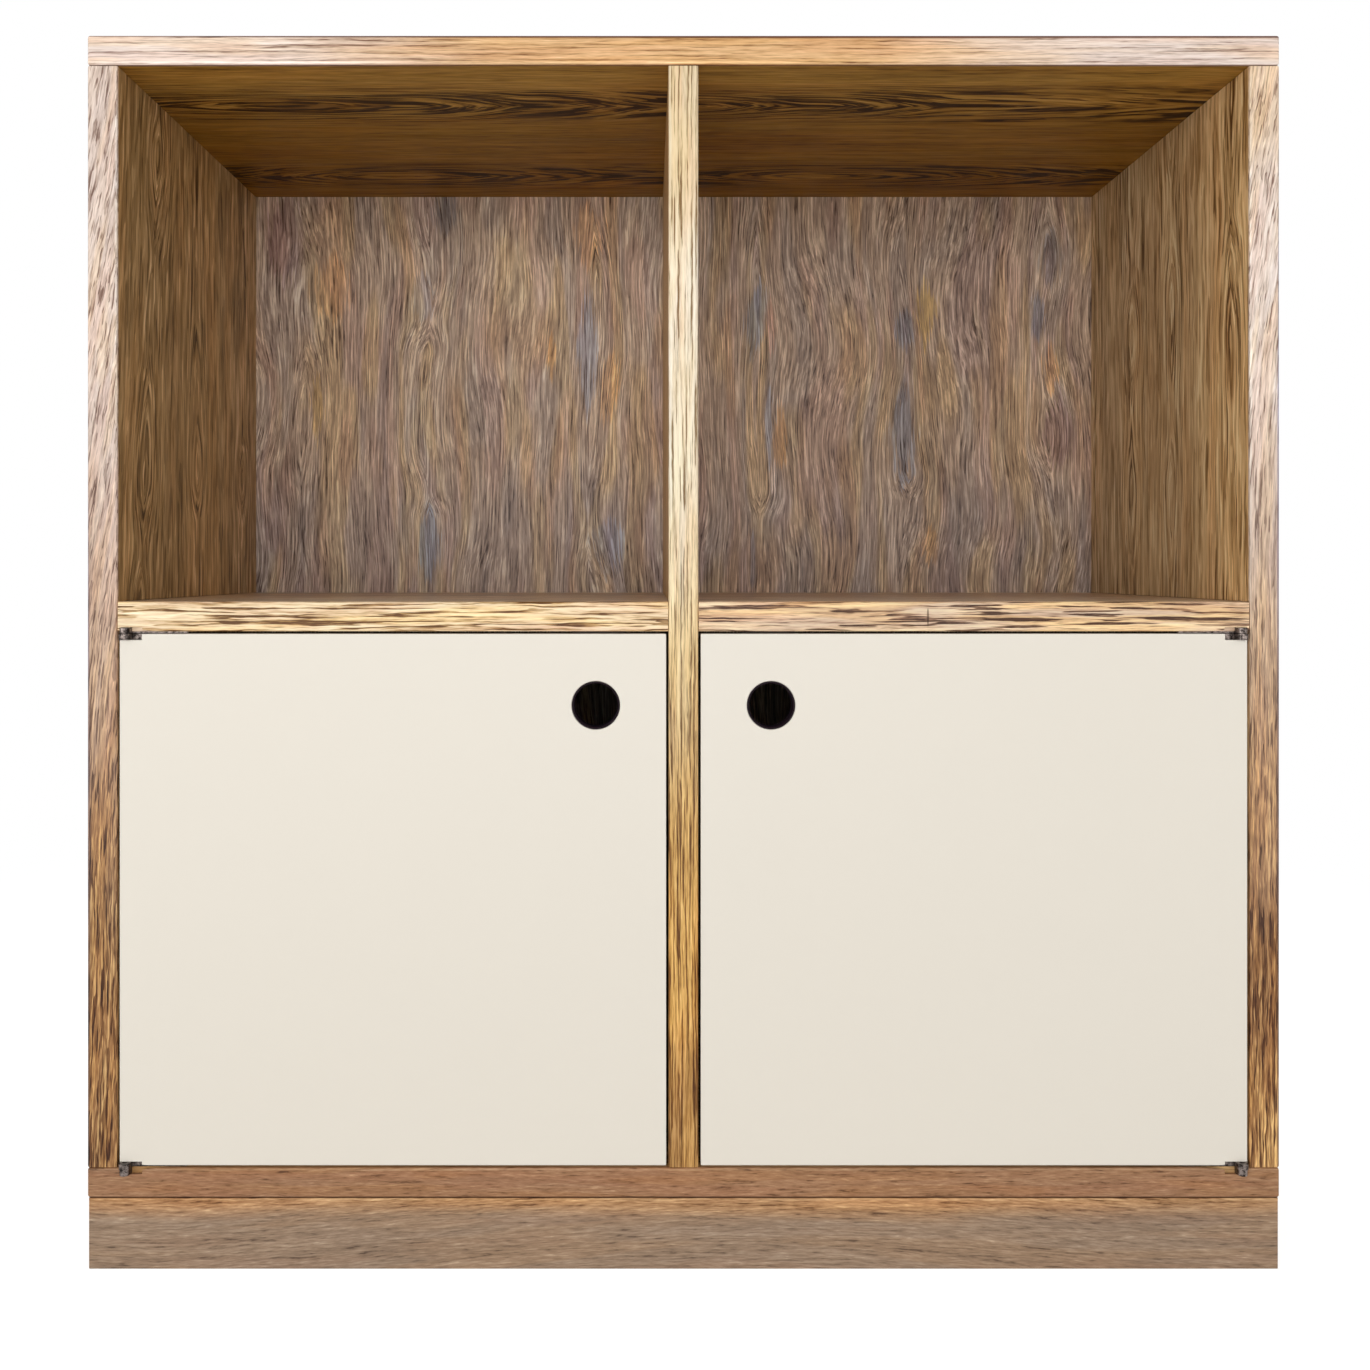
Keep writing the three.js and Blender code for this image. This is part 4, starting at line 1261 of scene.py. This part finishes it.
backScrew = {
    "Head Radius": 3.0, "Head Depth": 1.4, "Crown": 0.5,
    "Shank Radius": 1.3, "Shank Length": 14.0, "Recess": 3.0, "Seed": 9,
}
backScrewEdge = 4.0 * millimetre
backScrewSpacing = 125 * millimetre
for side in sides:
    low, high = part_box(side + "_back_panel")
    edgeLow = (low.x + backScrewEdge, low.z + backScrewEdge)
    edgeHigh = (high.x - backScrewEdge, high.z - backScrewEdge)
    acrossCount = math.ceil((edgeHigh[0] - edgeLow[0]) / backScrewSpacing)
    upCount = math.ceil((edgeHigh[1] - edgeLow[1]) / backScrewSpacing)
    ring = []
    for i in range(acrossCount + 1):
        x = edgeLow[0] + (edgeHigh[0] - edgeLow[0]) * i / acrossCount
        ring += [(x, edgeLow[1]), (x, edgeHigh[1])]
    for i in range(1, upCount):
        z = edgeLow[1] + (edgeHigh[1] - edgeLow[1]) * i / upCount
        ring += [(edgeLow[0], z), (edgeHigh[0], z)]
    places = [((x, high.y, z), (0, 1, 0)) for x, z in ring]
    screwSet(side + "_back_screws", "carcass", "aged_steel", agedSteel, places, backScrew)
print("screws finished")


# Studio
studio = {
    "floorSize": 14.0,
    "floorDrop": 0.0004,
    "floorShade": 0.8,
    "shadowShare": 0.35,
    "shadowTint": 2.6,
    "shadowReach": (0.9, 1.8),
    "worldStrength": 0.24,
    "lamps": {
        "front": {"at": (-0.2, -3.4, 0.85), "aim": (0.0, 0.0, 0.6), "size": (2.6, 1.5), "power": 37},
        "left": {"at": (-2.7, -2.5, 0.85), "aim": (0.0, 0.0, 0.6), "size": (1.6, 1.5), "power": 38},
        "right": {"at": (2.7, -2.5, 0.85), "aim": (0.0, 0.0, 0.6), "size": (1.6, 1.5), "power": 27},
        "top": {"at": (0.0, -0.6, 2.9), "aim": (0.0, 0.0, 0.5), "size": (2.4, 2.0), "power": 8},
        "rear": {"at": (0.0, 3.2, 1.3), "aim": (0.0, 0.0, 0.6), "size": (3.0, 1.5), "power": 40},
    },
}
white = (1, 1, 1, 1)


def softbox(name, values):
    lamp = bpy.data.lights.new(name, "AREA")
    lamp.shape = "RECTANGLE"
    lamp.size, lamp.size_y = values["size"]
    lamp.energy = values["power"]
    lampObject = bpy.data.objects.new(name, lamp)
    lampObject.location = values["at"]
    direction = Vector(values["aim"]) - Vector(values["at"])
    lampObject.rotation_euler = direction.to_track_quat("-Z", "Y").to_euler()
    lampObject.visible_camera = False
    bpy.context.scene.collection.objects.link(lampObject)


for name, values in studio["lamps"].items():
    softbox(name + "Softbox", values)


def floorMaterial():  # white to the camera and to glossy rays, apart from the object's soft shadow
    s = Shader(bpy.data.materials.new("floorWhite"))
    camera = s.node("ShaderNodeLightPath", output="Is Camera Ray")
    glossy = camera.part("Is Glossy Ray").most(camera.part("Is Transmission Ray"))
    bright = s.node("ShaderNodeEmission", None, {"Color": white, "Strength": 1.0})
    shade, tint = studio["floorShade"], studio["shadowTint"]
    plain = s.node("ShaderNodeBsdfDiffuse", None, {"Color": (shade, shade, shade, 1)})
    lit = s.node("ShaderNodeBsdfDiffuse", None, {"Color": (tint, tint, tint, 1)})
    place = s.node("ShaderNodeTexCoord", output="Object")
    distance = s.vectorMaths("LENGTH", {0: place}, "Value")
    near = 1 - s.rise(distance, *studio["shadowReach"])
    soft = s.node("ShaderNodeMixShader", None, {0: near * studio["shadowShare"], 1: bright, 2: lit})
    seen = s.node("ShaderNodeMixShader", None, {0: camera, 1: plain, 2: soft})
    mirrored = s.node("ShaderNodeMixShader", None, {0: glossy, 1: seen, 2: bright})
    return s.shown("ShaderNodeOutputMaterial", mirrored)


def skyWorld():  # white to the camera and to glossy rays, dim as a light
    s = Shader(bpy.data.worlds.new("studio"))
    camera = s.node("ShaderNodeLightPath", output="Is Camera Ray")
    bright = s.node("ShaderNodeBackground", None, {"Color": white, "Strength": 1.0})
    dim = s.node("ShaderNodeBackground", None, {"Color": white, "Strength": studio["worldStrength"]})
    seen = camera.most(camera.part("Is Glossy Ray"))
    return s.shown("ShaderNodeOutputWorld", s.node("ShaderNodeMixShader", None, {0: seen, 1: dim, 2: bright}))


half, drop = studio["floorSize"] / 2, -studio["floorDrop"]
floorMesh = bpy.data.meshes.new("floor")
corners = [(-half, -half, drop), (half, -half, drop), (half, half, drop), (-half, half, drop)]
floorMesh.from_pydata(corners, [], [(0, 1, 2, 3)])
floor = linked("floor", floorMesh)
coated(floorMesh, floorMaterial())
bpy.context.scene.world = skyWorld()

# Camera: level, square to the front, with the photograph's framing kept by its shift
camera = {"at": (-0.031, -1.327, 0.589), "lens": 35.1, "sensor": 36.0, "shift": (0.0281, -0.0861)}
lens = bpy.data.cameras.new("camera")
lens.lens = camera["lens"]
lens.sensor_width = camera["sensor"]
lens.shift_x, lens.shift_y = camera["shift"]
cameraObject = bpy.data.objects.new("camera", lens)
cameraObject.location = camera["at"]
cameraObject.rotation_euler = (math.pi / 2, 0, 0)
bpy.context.scene.collection.objects.link(cameraObject)
bpy.context.scene.camera = cameraObject
bpy.context.scene.view_settings.view_transform = "Standard"
